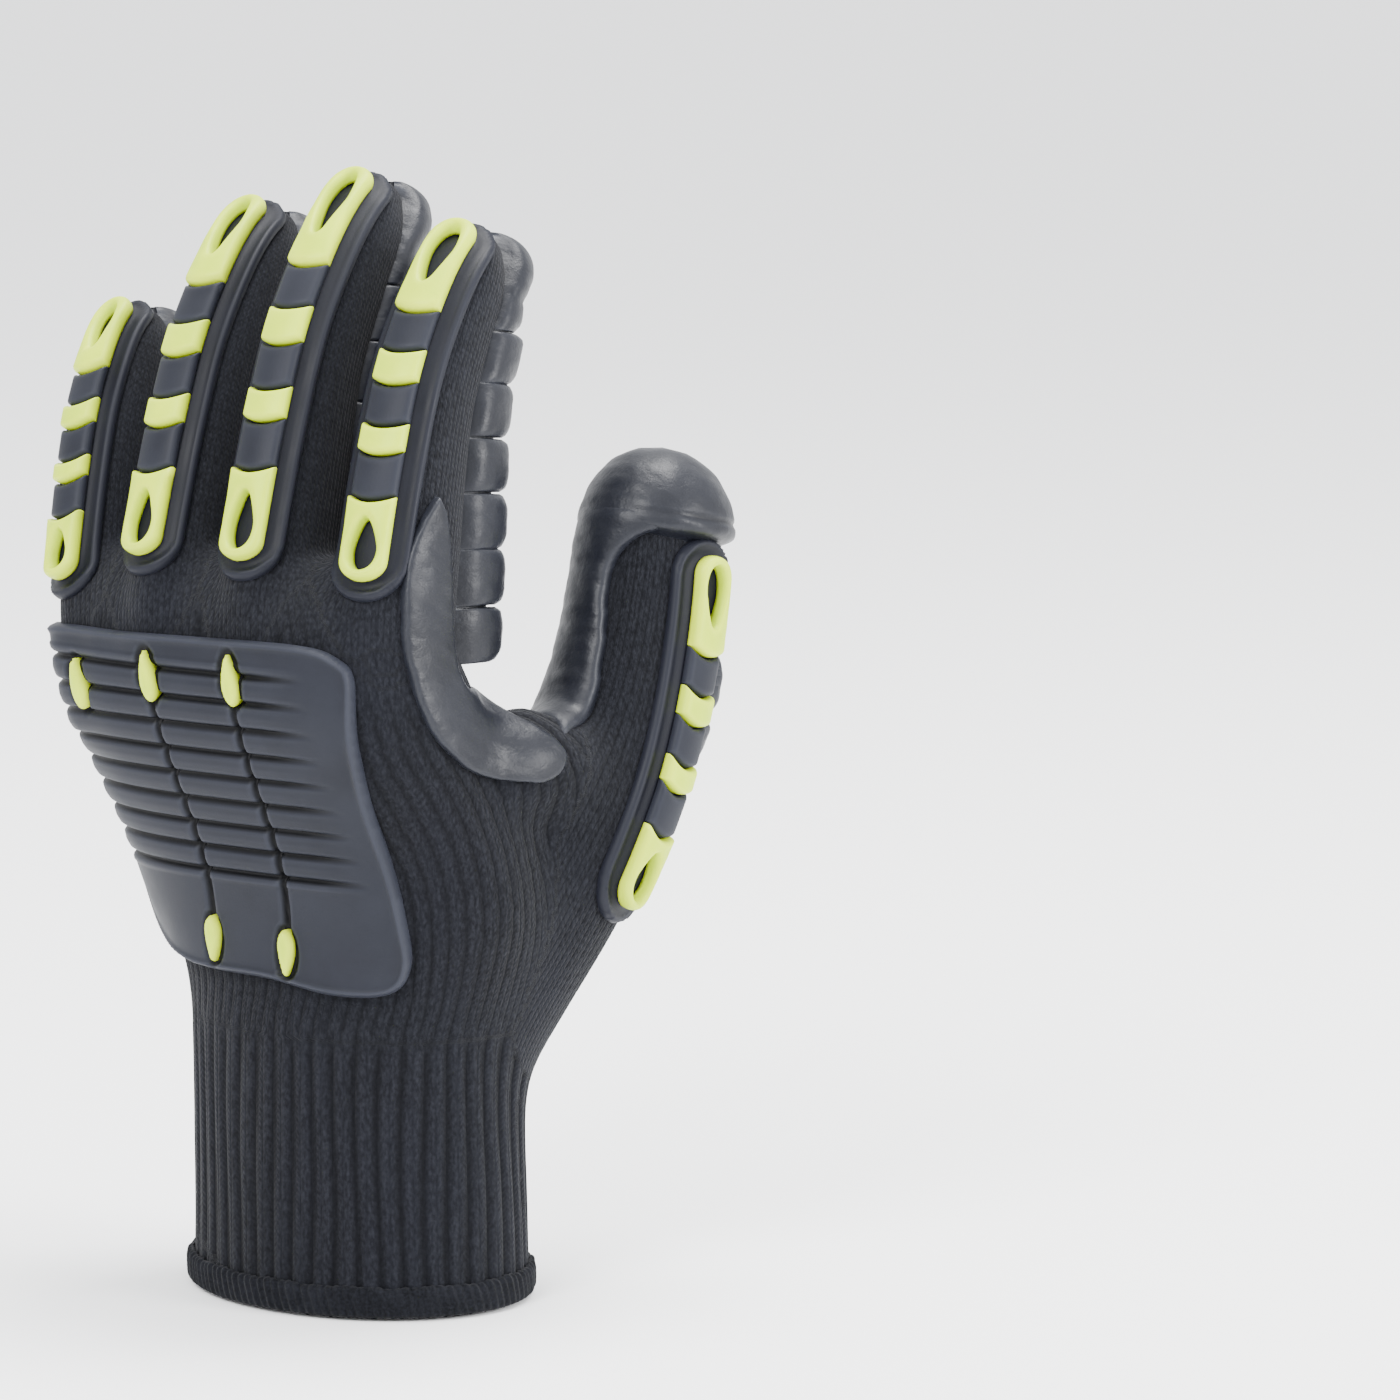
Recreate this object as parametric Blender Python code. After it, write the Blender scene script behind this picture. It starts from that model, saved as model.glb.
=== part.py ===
"""Anti-vibration work glove for a left hand, in the form that it has when worn.

A knitted sleeve, open at the cuff, carries foam rubber pads on the palm side and
moulded rubber guards on the back of the hand and along each finger and the thumb.

World: +Z runs from the cuff to the fingertips, +X to the thumb, -Y to the back of
the hand. The origin is the centre of the cuff's opening. Sizes are in millimetres
and become metres where a mesh is made.
"""

import math

import bmesh
import bpy
from mathutils import Vector
from mathutils.bvhtree import BVHTree

MM = 0.001

# Sizes of the sleeve
CUFF_BREADTH = 83.0      # across the wrist, thumb side to little finger side
CUFF_DEPTH = 65.0        # back of the wrist to its palm side
CUFF_HEIGHT = 62.0       # hem to the wrist
PALM_BREADTH = 104.0     # across the palm below the fingers
PALM_DEPTH = 52.0        # thickness of the heel of the hand
PALM_HEIGHT = 106.0      # wrist to the webs between the fingers
HAND_HEIGHT = CUFF_HEIGHT + PALM_HEIGHT
HAND_LEAN = 26.0         # how far the webs lie behind the middle of the cuff
HAND_DRIFT = 12.0        # how far the webs lie to the little finger side of it
LINER_WALL = 1.6
TIP_DOME = 2.0           # rise of a fingertip above its last section
HEM_HEIGHT = 6.5
HEM_THICKNESS = 1.2
SEAT_GAP = 0.3           # between pieces that lie on each other
FLAT_TURN = 0.5         # faces that turn less than this, in degrees, are merged

# One row for each section of the hand. "up" counts 0 to 1 over the cuff and 1 to 2
# over the palm. The rest are shares of the sizes named above.
HAND_COLUMNS = ("up", "breadth", "depth", "drift", "lean", "square")
HAND_ROWS = (
    (0.00, 1.015, 1.015, 0.00, 0.00, 2.0),
    (0.13, 1.00, 1.00, 0.00, 0.00, 2.0),
    (1.00, 0.99, 0.97, -0.04, 0.02, 2.1),
)
PALM_ROWS = (
    (1.12, 0.87, 1.13, -0.10, 0.02, 2.2),
    (1.25, 0.97, 1.04, -0.05, 0.10, 2.4),
    (1.40, 1.00, 0.98, 0.14, 0.25, 2.6),
    (1.55, 1.00, 0.96, 0.38, 0.50, 2.8),
    (1.70, 0.98, 0.90, 0.58, 0.77, 3.0),
    (1.83, 0.95, 0.79, 0.75, 0.90, 3.0),
    (1.93, 0.91, 0.58, 0.88, 0.98, 3.0),
    (2.00, 0.85, 0.31, 0.96, 1.02, 2.6),
)
HAND_SIDES = 24
INSIDE_SHARE = 0.6      # the inside of the sleeve has this share of the outside's facets

# Fingers. The knuckle is where a finger's centre line leaves the hand, as shares of
# half the palm's breadth, of the palm's depth and of the hand's height. The splay is
# its turn to the little finger side, and the guard turn is how far the guard's middle
# is turned round the finger to the thumb side.
FINGER_COLUMNS = ("name", "knuckle_out", "knuckle_forward", "knuckle_up", "length", "width",
                  "depth", "splay", "lean_base", "lean_tip", "guard_turn", "ribs")
FINGER_ROWS = (
    ("index", 0.56, -0.555, 0.893, 101.0, 23.0, 20.5, 4.5, 15.0, 50.0, 8.0, 6),
    ("middle", 0.01, -0.663, 0.899, 114.0, 21.5, 20.5, 5.0, 17.0, 52.0, 3.0, 6),
    ("ring", -0.490, -0.683, 0.899, 108.0, 21.0, 20.0, 7.5, 20.0, 54.0, -3.0, 6),
    ("little", -0.940, -0.625, 0.881, 82.0, 19.0, 17.5, 12.5, 19.0, 48.0, -10.0, 5),
)
FINGER_ROOT = 26.0       # how far a finger's sleeve runs down inside the palm's
FINGER_ROOT_LEAN = -18.0
LEAN_GROWTH = 1.5        # above 1 the finger bends more towards its tip
FINGER_SIDES = 10
# A finger along its length: share of the length, of the width, of the depth, and how
# far its palm side swells out beyond that, as a share of the depth.
FINGER_COLUMNS_ALONG = ("along", "width", "depth", "swell")
FINGER_TAPER = (
    (-0.26, 0.86, 0.30, 0.50),
    (0.00, 1.00, 0.98, 0.50),
    (0.18, 1.00, 1.00, 0.44),
    (0.56, 0.98, 1.00, 0.14),
    (0.76, 0.97, 0.98, 0.05),
    (0.91, 0.86, 0.87, 0.00),
    (1.00, 0.50, 0.52, 0.00),
)

# Thumb: its centre line from inside the wrist to the tip, as shares of its reach
THUMB_RISE = 190.0       # height of the thumb's tip above the hem
THUMB_OUT = 49.0         # how far the thumb stands off to the thumb side
THUMB_FORWARD = 52.5     # how far it stands in front of the palm
THUMB_WIDTH = 31.0
THUMB_DEPTH = 27.0
THUMB_FACE = 79.0        # turn of the thumb's back, from the back of the hand to +X
THUMB_COLUMNS = ("rise", "out", "forward", "width", "depth")
THUMB_ROWS = (
    (0.24, 0.20, 0.08, 1.36, 1.66),
    (0.33, 0.40, 0.17, 1.40, 1.68),
    (0.41, 0.58, 0.27, 1.36, 1.56),
    (0.48, 0.73, 0.38, 1.28, 1.44),
    (0.56, 0.86, 0.51, 1.20, 1.30),
    (0.64, 0.94, 0.65, 1.12, 1.17),
    (0.74, 0.98, 0.80, 1.07, 1.06),
    (0.85, 0.98, 0.92, 1.04, 1.04),
    (0.92, 0.97, 0.97, 0.96, 0.96),
    (0.955, 0.97, 0.99, 0.78, 0.78),
    (0.975, 0.97, 1.00, 0.50, 0.50),
)
THUMB_SIDES = 12


def rows(columns, table):
    """The table as one dictionary for each row, keyed by its column names."""
    return [dict(zip(columns, row)) for row in table]


def smooth_between(marks, values, at):
    """A smooth curve through the values, evaluated at one place along the marks."""
    if at <= marks[0]:
        at_low, k = 0.0, 0
        slope = (values[1] - values[0]) / (marks[1] - marks[0])
        return values[0] + slope * (at - marks[0])
    if at >= marks[-1]:
        slope = (values[-1] - values[-2]) / (marks[-1] - marks[-2])
        return values[-1] + slope * (at - marks[-1])
    k = max(i for i in range(len(marks) - 1) if marks[i] <= at)

    def slope_at(i):
        low, high = max(i - 1, 0), min(i + 1, len(marks) - 1)
        return (values[high] - values[low]) / (marks[high] - marks[low])

    span = marks[k + 1] - marks[k]
    t = (at - marks[k]) / span
    return ((1 + 2 * t) * (1 - t) ** 2 * values[k] + t * (1 - t) ** 2 * span * slope_at(k)
            + t * t * (3 - 2 * t) * values[k + 1] + t * t * (t - 1) * span * slope_at(k + 1))


class Sleeve:
    """A bent sleeve through oval sections. Places on it are named by "run", the
    distance along it, and "across", the distance round it from the middle of its
    back, which counts up towards its thumb side."""

    STEPS = 48

    def __init__(self, name, stations, sides):
        # a station: run, centre, side, back, half_width, half_depth, square
        self.name = name
        self.sides = sides
        self.runs = [s[0] for s in stations]
        self.tracks = []
        for pick in (lambda s: s[1].x, lambda s: s[1].y, lambda s: s[1].z,
                     lambda s: s[2].x, lambda s: s[2].y, lambda s: s[2].z,
                     lambda s: s[3].x, lambda s: s[3].y, lambda s: s[3].z,
                     lambda s: s[4], lambda s: s[5], lambda s: s[6]):
            self.tracks.append([pick(s) for s in stations])
        self.kept = {}

    def section(self, run, lift=0.0):
        """Points round the sleeve at one place, with their distance from the back."""
        key = (round(run, 4), round(lift, 4))
        if key in self.kept:
            return self.kept[key]
        v = [smooth_between(self.runs, track, run) for track in self.tracks]
        centre, side, back = Vector(v[0:3]), Vector(v[3:6]).normalized(), Vector(v[6:9]).normalized()
        wide, deep, square = v[9] + lift, v[10] + lift, v[11]
        ring = []
        for i in range(self.STEPS + 1):
            turn = math.pi * (2.0 * i / self.STEPS - 1.0)
            s, c = math.sin(turn), math.cos(turn)
            x = wide * math.copysign(abs(s) ** (2.0 / square), s)
            y = deep * math.copysign(abs(c) ** (2.0 / square), c)
            ring.append(centre + side * x + back * y)
        gone = [0.0]
        for a, b in zip(ring, ring[1:]):
            gone.append(gone[-1] + (b - a).length)
        middle = gone[self.STEPS // 2]
        gone = [g - middle for g in gone]
        self.kept[key] = (ring, gone, centre)
        return self.kept[key]

    def frame(self, run):
        """Centre, side, back, ahead, half width and half depth at one place."""
        v = [smooth_between(self.runs, track, run) for track in self.tracks]
        side, back = Vector(v[3:6]).normalized(), Vector(v[6:9]).normalized()
        ahead = side.cross(back) * -1.0
        return Vector(v[0:3]), side, back, ahead, v[9], v[10]

    def half_girth(self, run):
        return self.section(run)[1][-1]

    def point(self, run, across, lift=0.0):
        """The place on the sleeve; the lift swells the whole section."""
        ring, gone, _ = self.section(run)
        swollen = self.section(run, lift)[0] if lift else ring
        girth = gone[-1] - gone[0]
        across = (across - gone[0]) % girth + gone[0]
        k = max(i for i in range(self.STEPS) if gone[i] <= across + 1e-9)
        t = (across - gone[k]) / (gone[k + 1] - gone[k])
        return swollen[k].lerp(swollen[k + 1], t)

    def normal(self, run, across):
        along = self.point(run + 1.5, across) - self.point(run - 1.5, across)
        round_it = self.point(run, across + 1.5) - self.point(run, across - 1.5)
        return along.cross(round_it).normalized() * -1.0


def hand_sleeve():
    stations = []
    for row in rows(HAND_COLUMNS, HAND_ROWS + PALM_ROWS):
        cuff = row["up"] <= 1.0
        height = (row["up"] * CUFF_HEIGHT if cuff
                  else CUFF_HEIGHT + (row["up"] - 1.0) * PALM_HEIGHT)
        breadth = CUFF_BREADTH if cuff else PALM_BREADTH
        depth = CUFF_DEPTH if cuff else PALM_DEPTH
        stations.append((height,
                         Vector((-row["drift"] * HAND_DRIFT, -row["lean"] * HAND_LEAN, height)),
                         Vector((1, 0, 0)), Vector((0, -1, 0)),
                         row["breadth"] * breadth / 2, row["depth"] * depth / 2,
                         row["square"]))
    return Sleeve("hand", stations, HAND_SIDES)


def finger_line(row, run):
    """Centre and direction of a finger at a distance from its knuckle."""
    steps = 24
    centre = Vector((row["knuckle_out"] * PALM_BREADTH / 2, row["knuckle_forward"] * PALM_DEPTH,
                     row["knuckle_up"] * HAND_HEIGHT))
    splay = math.radians(row["splay"])

    def heading(at):
        if at < 0:
            share = min(-at / FINGER_ROOT, 1.0)
            lean = row["lean_base"] + (FINGER_ROOT_LEAN - row["lean_base"]) * share
            turn = splay * (1.0 - share)
        else:
            lean = (row["lean_base"] + (row["lean_tip"] - row["lean_base"])
                    * min(at / row["length"], 1.2) ** LEAN_GROWTH)
            turn = splay
        lean = math.radians(lean)
        return Vector((-math.sin(turn), math.sin(lean) * math.cos(turn),
                       math.cos(lean) * math.cos(turn)))

    for i in range(steps):
        centre = centre + heading(run * (i + 0.5) / steps) * (run / steps)
    return centre, heading(run)


def finger_sleeve(row, taper=FINGER_TAPER):
    stations = []
    for part in rows(FINGER_COLUMNS_ALONG, taper):
        run = part["along"] * row["length"]
        centre, ahead = finger_line(row, run)
        side = (Vector((1, 0, 0)) - ahead * ahead.x).normalized()
        back = ahead.cross(side).normalized() * -1.0
        swell = part["swell"] * row["depth"]
        stations.append((run, centre - back * swell / 2, side, back,
                         part["width"] * row["width"] / 2,
                         (part["depth"] * row["depth"] + swell) / 2, 2.2))
    return Sleeve(row["name"], stations, FINGER_SIDES)


def thumb_sleeve():
    stations = []
    face = math.radians(THUMB_FACE)
    table = rows(THUMB_COLUMNS, THUMB_ROWS)
    centres = [Vector((r["out"] * THUMB_OUT, r["forward"] * THUMB_FORWARD,
                       r["rise"] * THUMB_RISE)) for r in table]
    run = 0.0
    for i, row in enumerate(table):
        ahead = (centres[min(i + 1, len(table) - 1)] - centres[max(i - 1, 0)]).normalized()
        out = Vector((math.sin(face), -math.cos(face), 0.0))
        back = (out - ahead * out.dot(ahead)).normalized()
        side = ahead.cross(back).normalized()
        if i:
            run += (centres[i] - centres[i - 1]).length
        stations.append((run, centres[i], side, back,
                         row["width"] * THUMB_WIDTH / 2, row["depth"] * THUMB_DEPTH / 2, 2.2))
    return Sleeve("thumb", stations, THUMB_SIDES)


def sleeve_mesh(sleeve, lift, sides, start=None):
    """A closed mesh of the sleeve, swollen or shrunk by the lift, on its own stations."""
    bm = bmesh.new()
    runs = [r for r in sleeve.runs if start is None or r > start]
    if start is not None:
        runs.insert(0, start)
    rings = []
    for run in runs:
        half = sleeve.half_girth(run)
        rings.append([bm.verts.new(sleeve.point(run, half * (2.0 * i / sides - 1.0), lift))
                      for i in range(sides)])
    for low, high in zip(rings, rings[1:]):
        for i in range(sides):
            j = (i + 1) % sides
            bm.faces.new((low[i], low[j], high[j], high[i]))
    below = sleeve.section(runs[0])[2] - sleeve.section(runs[1])[2]
    for v in rings[0]:
        v.co += below.normalized() * max(lift, 0.0)
    top = sleeve.section(runs[-1])[2]
    ahead = (top - sleeve.section(runs[-2])[2]).normalized()
    tip = bm.verts.new(top + ahead * (TIP_DOME + lift))
    foot = bm.verts.new(sleeve.section(runs[0])[2] + below.normalized() * max(lift, 0.0))
    for i in range(sides):
        j = (i + 1) % sides
        bm.faces.new((rings[-1][i], rings[-1][j], tip))
        bm.faces.new((rings[0][j], rings[0][i], foot))
    bmesh.ops.triangulate(bm, faces=bm.faces[:], quad_method="FIXED")
    bmesh.ops.recalc_face_normals(bm, faces=bm.faces)
    return bm


def new_object(name, bm, mat):
    """The mesh, in millimetres, as an object in metres with its material."""
    if bm.calc_volume(signed=True) < 0.0:
        bmesh.ops.reverse_faces(bm, faces=bm.faces[:])
    for v in bm.verts:
        v.co *= MM
    mesh = bpy.data.meshes.new(name)
    bm.to_mesh(mesh)
    bm.free()
    mesh.materials.append(mat)
    obj = bpy.data.objects.new(name, mesh)
    bpy.context.scene.collection.objects.link(obj)
    return obj


def material(name, color, roughness, metallic=0.0):
    mat = bpy.data.materials.new(name)
    mat.use_nodes = True
    shader = mat.node_tree.nodes["Principled BSDF"]
    shader.inputs["Base Color"].default_value = (*color, 1.0)
    shader.inputs["Roughness"].default_value = roughness
    shader.inputs["Metallic"].default_value = metallic
    return mat


def combine(target, cutter, operation, folded=False):
    """Union or difference kept as the target's mesh."""
    mod = target.modifiers.new(operation.lower(), "BOOLEAN")
    mod.operation = operation
    mod.solver = "EXACT"
    mod.use_self = folded
    mod.object = cutter
    graph = bpy.context.evaluated_depsgraph_get()
    mesh = bpy.data.meshes.new_from_object(target.evaluated_get(graph))
    target.modifiers.clear()
    old, target.data = target.data, mesh
    bpy.data.meshes.remove(old)
    return target


def remove(obj):
    mesh = obj.data
    bpy.data.objects.remove(obj)
    bpy.data.meshes.remove(mesh)


def hand_form(name, sleeves, lift, mat, share=1.0, start=None):
    """The union of all sleeves as one closed body."""
    body = None
    for sleeve in sleeves:
        sides = 2 * round(sleeve.sides * share / 2)
        begin = start if sleeve.name == "hand" else None
        piece = new_object(name if body is None else "piece",
                           sleeve_mesh(sleeve, lift, sides, begin), mat)
        if body is None:
            body = piece
        else:
            combine(body, piece, "UNION")
            remove(piece)
    return body


def build_liner(sleeves, knit):
    outside = hand_form("liner", sleeves, 0.0, knit)
    inside = hand_form("inside", sleeves, -LINER_WALL, knit, INSIDE_SHARE, start=-4.0)
    combine(outside, inside, "DIFFERENCE")
    remove(inside)
    return outside


def build_hem(hand, mat):
    """The overlocked edge, a band round the cuff's end."""
    bm = bmesh.new()
    loops = []
    for height, lift in ((0.0, SEAT_GAP), (0.0, SEAT_GAP + HEM_THICKNESS),
                         (HEM_HEIGHT, SEAT_GAP + HEM_THICKNESS), (HEM_HEIGHT, SEAT_GAP)):
        half = hand.half_girth(height)
        loops.append([bm.verts.new(hand.point(height, half * (2.0 * i / hand.sides - 1.0), lift))
                      for i in range(hand.sides)])
    for k in range(4):
        near, far = loops[k], loops[(k + 1) % 4]
        for i in range(hand.sides):
            j = (i + 1) % hand.sides
            bm.faces.new((near[i], near[j], far[j], far[i]))
    bmesh.ops.recalc_face_normals(bm, faces=bm.faces)
    return new_object("cuff_hem", bm, mat)


class Skin:
    """The outside of the whole sleeve, to seat pads and guards on."""

    def __init__(self, form):
        mesh = form.data
        self.tree = BVHTree.FromPolygons([v.co / MM for v in mesh.vertices],
                                         [p.vertices[:] for p in mesh.polygons])

    def seat(self, sleeve, run, across, lift, reach=9.0):
        """A place above the sleeve, or above whatever swells out over it there."""
        point = sleeve.point(run, across)
        normal = sleeve.normal(run, across)
        hit = self.tree.ray_cast(point + normal * reach, -normal, reach + 3.0)
        if hit[0] is not None:
            point = hit[0]
        return point + normal * lift


class PalmFace:
    """The palm side seen from the front, where the ball of the thumb swells softly
    out of the palm. Places on it are a height above the hem and a distance out to
    the thumb side."""

    FACING = Vector((-0.2, 0.98, 0.0)).normalized()
    BLEND = 8.0

    def __init__(self, forms):
        self.skins = [Skin(form) for form in forms]

    def seat(self, height, out, lift):
        total = 0.0
        for skin in self.skins:
            hit = skin.tree.ray_cast(Vector((out, PALM_BREADTH, height)), Vector((0, -1, 0)))
            if hit[0] is not None:
                total += math.exp(hit[0].y / self.BLEND)
        return Vector((out, self.BLEND * math.log(total), height)) + self.FACING * lift


class ThumbSideFace:
    """The thumb side of the hand seen from the side. Places on it are a height above
    the hem and a distance forward to the palm side."""

    FACING = Vector((0.93, -0.36, 0.0)).normalized()
    NEAR = 0.72
    SPREAD = 5.0         # places around a point that even out its height

    def __init__(self, skin):
        self.skin = skin

    def seat(self, height, forward, lift):
        outs = []
        for up, along in ((0.0, 0.0), (self.SPREAD, 0.0), (-self.SPREAD, 0.0),
                          (0.0, self.SPREAD), (0.0, -self.SPREAD)):
            start = Vector((PALM_BREADTH, forward + along, height + up))
            hit = self.skin.tree.ray_cast(start, Vector((-1, 0, 0)), PALM_BREADTH * 0.8)
            if hit[0] is not None:
                outs.append(hit[0].x)
        out = sum(outs) / len(outs) if outs else PALM_BREADTH / 2 * self.NEAR
        return Vector((max([out] + outs[:1]), forward, height)) + self.FACING * lift


def flat_sheet(outline, cuts):
    """A flat mesh in (across, run), cut along lines given as a place and a direction."""
    bm = bmesh.new()
    bm.faces.new([bm.verts.new((across, run, 0.0)) for run, across in outline])
    for (run, across), (rise, side) in cuts:
        bmesh.ops.bisect_plane(bm, geom=bm.verts[:] + bm.edges[:] + bm.faces[:], dist=0.02,
                               plane_co=(across, run, 0.0), plane_no=(rise, -side, 0.0))
    return bm


def level_cuts(runs):
    return [((run, 0.0), (0.0, 1.0)) for run in runs]


def upright_cuts(acrosses):
    return [((0.0, across), (1.0, 0.0)) for across in acrosses]


def sized(shares, height, breadth):
    """An outline in millimetres from its shares of a height and of a breadth."""
    return [(up * height, side * breadth) for up, side in shares]


def grid_cuts(outline, levels, uprights):
    """Evenly spaced cuts over an outline, both ways."""
    runs, acrosses = [r for r, a in outline], [a for r, a in outline]
    low, left = min(runs), min(acrosses)
    tall, broad = max(runs) - low, max(acrosses) - left
    return (level_cuts([low + tall * (i + 1) / (levels + 1) for i in range(levels)])
            + upright_cuts([left + broad * (i + 1) / (uprights + 1) for i in range(uprights)]))


def solid_sheet(name, bm, place, top, root, mat):
    """The flat mesh as a solid: its top at one height above the sleeve, its
    underside at another, and a wall round its edge."""
    bmesh.ops.triangulate(bm, faces=bm.faces[:])
    upper = bm.verts[:]
    faces = [tuple(v for v in f.verts) for f in bm.faces]
    rim = [tuple(e.verts) for e in bm.edges if len(e.link_faces) == 1]
    flat = {v: (v.co.y, v.co.x) for v in upper}
    lower = {v: bm.verts.new(v.co) for v in upper}
    for f in faces:
        bm.faces.new([lower[v] for v in reversed(f)])
    for a, b in rim:
        bm.faces.new((a, b, lower[b], lower[a]))
    for v in upper:
        run, across = flat[v]
        lower[v].co = place(run, across, root(run, across))
        v.co = place(run, across, top(run, across))
    bmesh.ops.recalc_face_normals(bm, faces=bm.faces)
    return new_object(name, bm, mat)


def stadium(low, high, half_width, corners=4):
    """An outline with round ends from one run to another, as (run, across) points."""
    points = []
    for end, sign in ((high - half_width, 1.0), (low + half_width, -1.0)):
        for i in range(corners + 1):
            turn = math.pi * i / corners
            points.append((end + sign * half_width * math.sin(turn),
                           -sign * half_width * math.cos(turn)))
    return points


def ramp(distance, width):
    """0 at an edge, 1 from the given distance inwards, round in between."""
    t = max(0.0, min(distance / width, 1.0))
    return math.sqrt(t * (2.0 - t))


# Guards on the fingers and the thumb
FLANGE_WIDTH = 18.5
FLANGE_THICKNESS = 1.5
FLANGE_MARGIN = 4.0      # flange beyond the ends of the strip
STRIP_WIDTH = 9.2
STRIP_RISE = 3.2         # yellow pieces above the flange
SEGMENT_RISE = 2.4       # grey segments above the flange
CHEVRON_DIP = 1.6        # how deep its upper edge is cut in, and how far its lower bulges
LOOP_SEAT = 1.1          # underside of the yellow pieces above the sleeve, less the flange
PIECE_GAP = 0.8          # between a yellow piece and a grey segment
LOOP_WALL = 2.4          # width of a loop round its hole
GUARD_LOW, GUARD_HIGH = 0.135, 0.96          # ends of a strip, as shares of its finger
THUMB_GUARD_LOW, THUMB_GUARD_HIGH = 0.326, 0.721     # and of the thumb's rise
THUMB_GUARD_TURN = (22.0, 9.0)               # at its two ends
GUARD_COLUMNS = ("piece", "from", "to")
GUARD_PIECES = (
    ("base_loop", 0.135, 0.320),
    ("low_chevron", 0.405, 0.480),
    ("high_chevron", 0.560, 0.645),
    ("tip_loop", 0.725, 0.970),
)


class Guard:
    """A moulded strip along a sleeve: where it lies and where its pieces sit."""

    def __init__(self, sleeve, skin, low, high, turn_low, turn_high, width_share):
        self.sleeve, self.skin = sleeve, skin
        self.low, self.high = low, high
        self.turn_low, self.turn_high = turn_low, turn_high
        self.half = FLANGE_WIDTH / 2 * width_share
        self.strip = STRIP_WIDTH / 2 * width_share

    def place(self, run, across, lift):
        share = (run - self.low) / (self.high - self.low)
        turn = self.turn_low + (self.turn_high - self.turn_low) * share
        across += turn / 180.0 * self.sleeve.half_girth(min(run, self.high))
        return self.skin.seat(self.sleeve, run, across, lift, 7.0)


def guard_spans(low, high):
    """Where the pieces of a guard begin and end, for a strip between two runs."""
    table = rows(GUARD_COLUMNS, GUARD_PIECES)
    first, last = table[0]["from"], table[-1]["to"]
    return [(row["piece"], low + (high - low) * (row["from"] - first) / (last - first),
             low + (high - low) * (row["to"] - first) / (last - first)) for row in table]


def build_guard_base(name, guard, spans, mat):
    """The flange with the grey crowned segments between the yellow pieces."""
    segments = [(a[2] + PIECE_GAP, b[1] - PIECE_GAP) for a, b in zip(spans, spans[1:])]
    shoulder = 0.5
    side = guard.strip

    def top(run, across):
        lift = SEAT_GAP + FLANGE_THICKNESS
        for low, high in segments:
            if low + 0.1 < run < high - 0.1 and abs(across) < side - 0.1:
                lift += SEGMENT_RISE * (1.0 - 0.35 * (across / side) ** 2)
        return lift

    levels = []
    for low, high in segments:
        levels += [low, low + shoulder, high - shoulder, high]
    for _, start, end in (spans[0], spans[-1]):
        levels += [start + (end - start) * share for share in (0.22, 0.42, 0.63, 0.83)]
    cuts = level_cuts(levels) + upright_cuts([-side, -side + shoulder, side - shoulder, side])
    low, high = spans[0][1] - FLANGE_MARGIN, spans[-1][2] + FLANGE_MARGIN
    bm = flat_sheet(stadium(low, high, guard.half), cuts)
    return solid_sheet(name, bm, guard.place, top, lambda r, a: -2.6, mat)


def crown(across, side, rise):
    return SEAT_GAP * 2 + FLANGE_THICKNESS + rise * (1.0 - 0.3 * (across / side) ** 2)


def build_chevron(name, guard, low, high, mat):
    """A yellow bar with a hollow upper edge and a bulging lower edge."""
    side = guard.strip
    steps = (-1.0, -0.5, 0.0, 0.5, 1.0)
    lower = [(low + CHEVRON_DIP * t * t, side * t) for t in steps]
    upper = [(high - CHEVRON_DIP * (1.0 - t * t), side * t) for t in reversed(steps)]
    bm = flat_sheet(lower + upper, upright_cuts([side * t for t in steps[1:-1]]))
    return solid_sheet(name, bm, guard.place, lambda r, a: crown(a, side, STRIP_RISE),
                       lambda r, a: LOOP_SEAT + FLANGE_THICKNESS, mat)


def build_loop(name, guard, low, high, mat, corners=6):
    """A yellow loop: round at one end, cut like a chevron at the other, with a hole."""
    side = guard.strip
    outward = name.endswith("tip_loop")
    length = high - low
    outer, inner = [], []
    hole_low, hole_high = ((low + 0.30 * length, high - LOOP_WALL) if outward
                           else (low + LOOP_WALL, low + 0.66 * length))
    middle, half_hole = (hole_low + hole_high) / 2, (hole_high - hole_low) / 2
    round_middle = high - side if outward else low + side
    sign = 1.0 if outward else -1.0
    for i in range(corners):
        turn = math.pi * i / (corners - 1)
        outer.append((round_middle + sign * side * math.sin(turn), -side * math.cos(turn) * sign))
        inner.append((middle + sign * half_hole * math.sin(turn),
                      -(side - LOOP_WALL) * math.cos(turn) * sign))
    for t in (1.0, 0.5, 0.0, -0.5, -1.0):
        edge = (low + CHEVRON_DIP * t * t) if outward else (high - CHEVRON_DIP * (1.0 - t * t))
        outer.append((edge, side * t * sign))
    for t in (0.8, 0.5, 0.0, -0.5, -0.8):
        inner.append((middle - sign * half_hole * math.cos(math.asin(t)),
                      (side - LOOP_WALL) * t * sign))
    bm = bmesh.new()
    far = [bm.verts.new((a, r, 0.0)) for r, a in outer]
    near = [bm.verts.new((a, r, 0.0)) for r, a in inner]
    n = len(far)
    for i in range(n):
        j = (i + 1) % n
        bm.faces.new((far[i], far[j], near[j], near[i]))
    return solid_sheet(name, bm, guard.place, lambda r, a: crown(a, side, STRIP_RISE),
                       lambda r, a: LOOP_SEAT + FLANGE_THICKNESS, mat)


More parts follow.
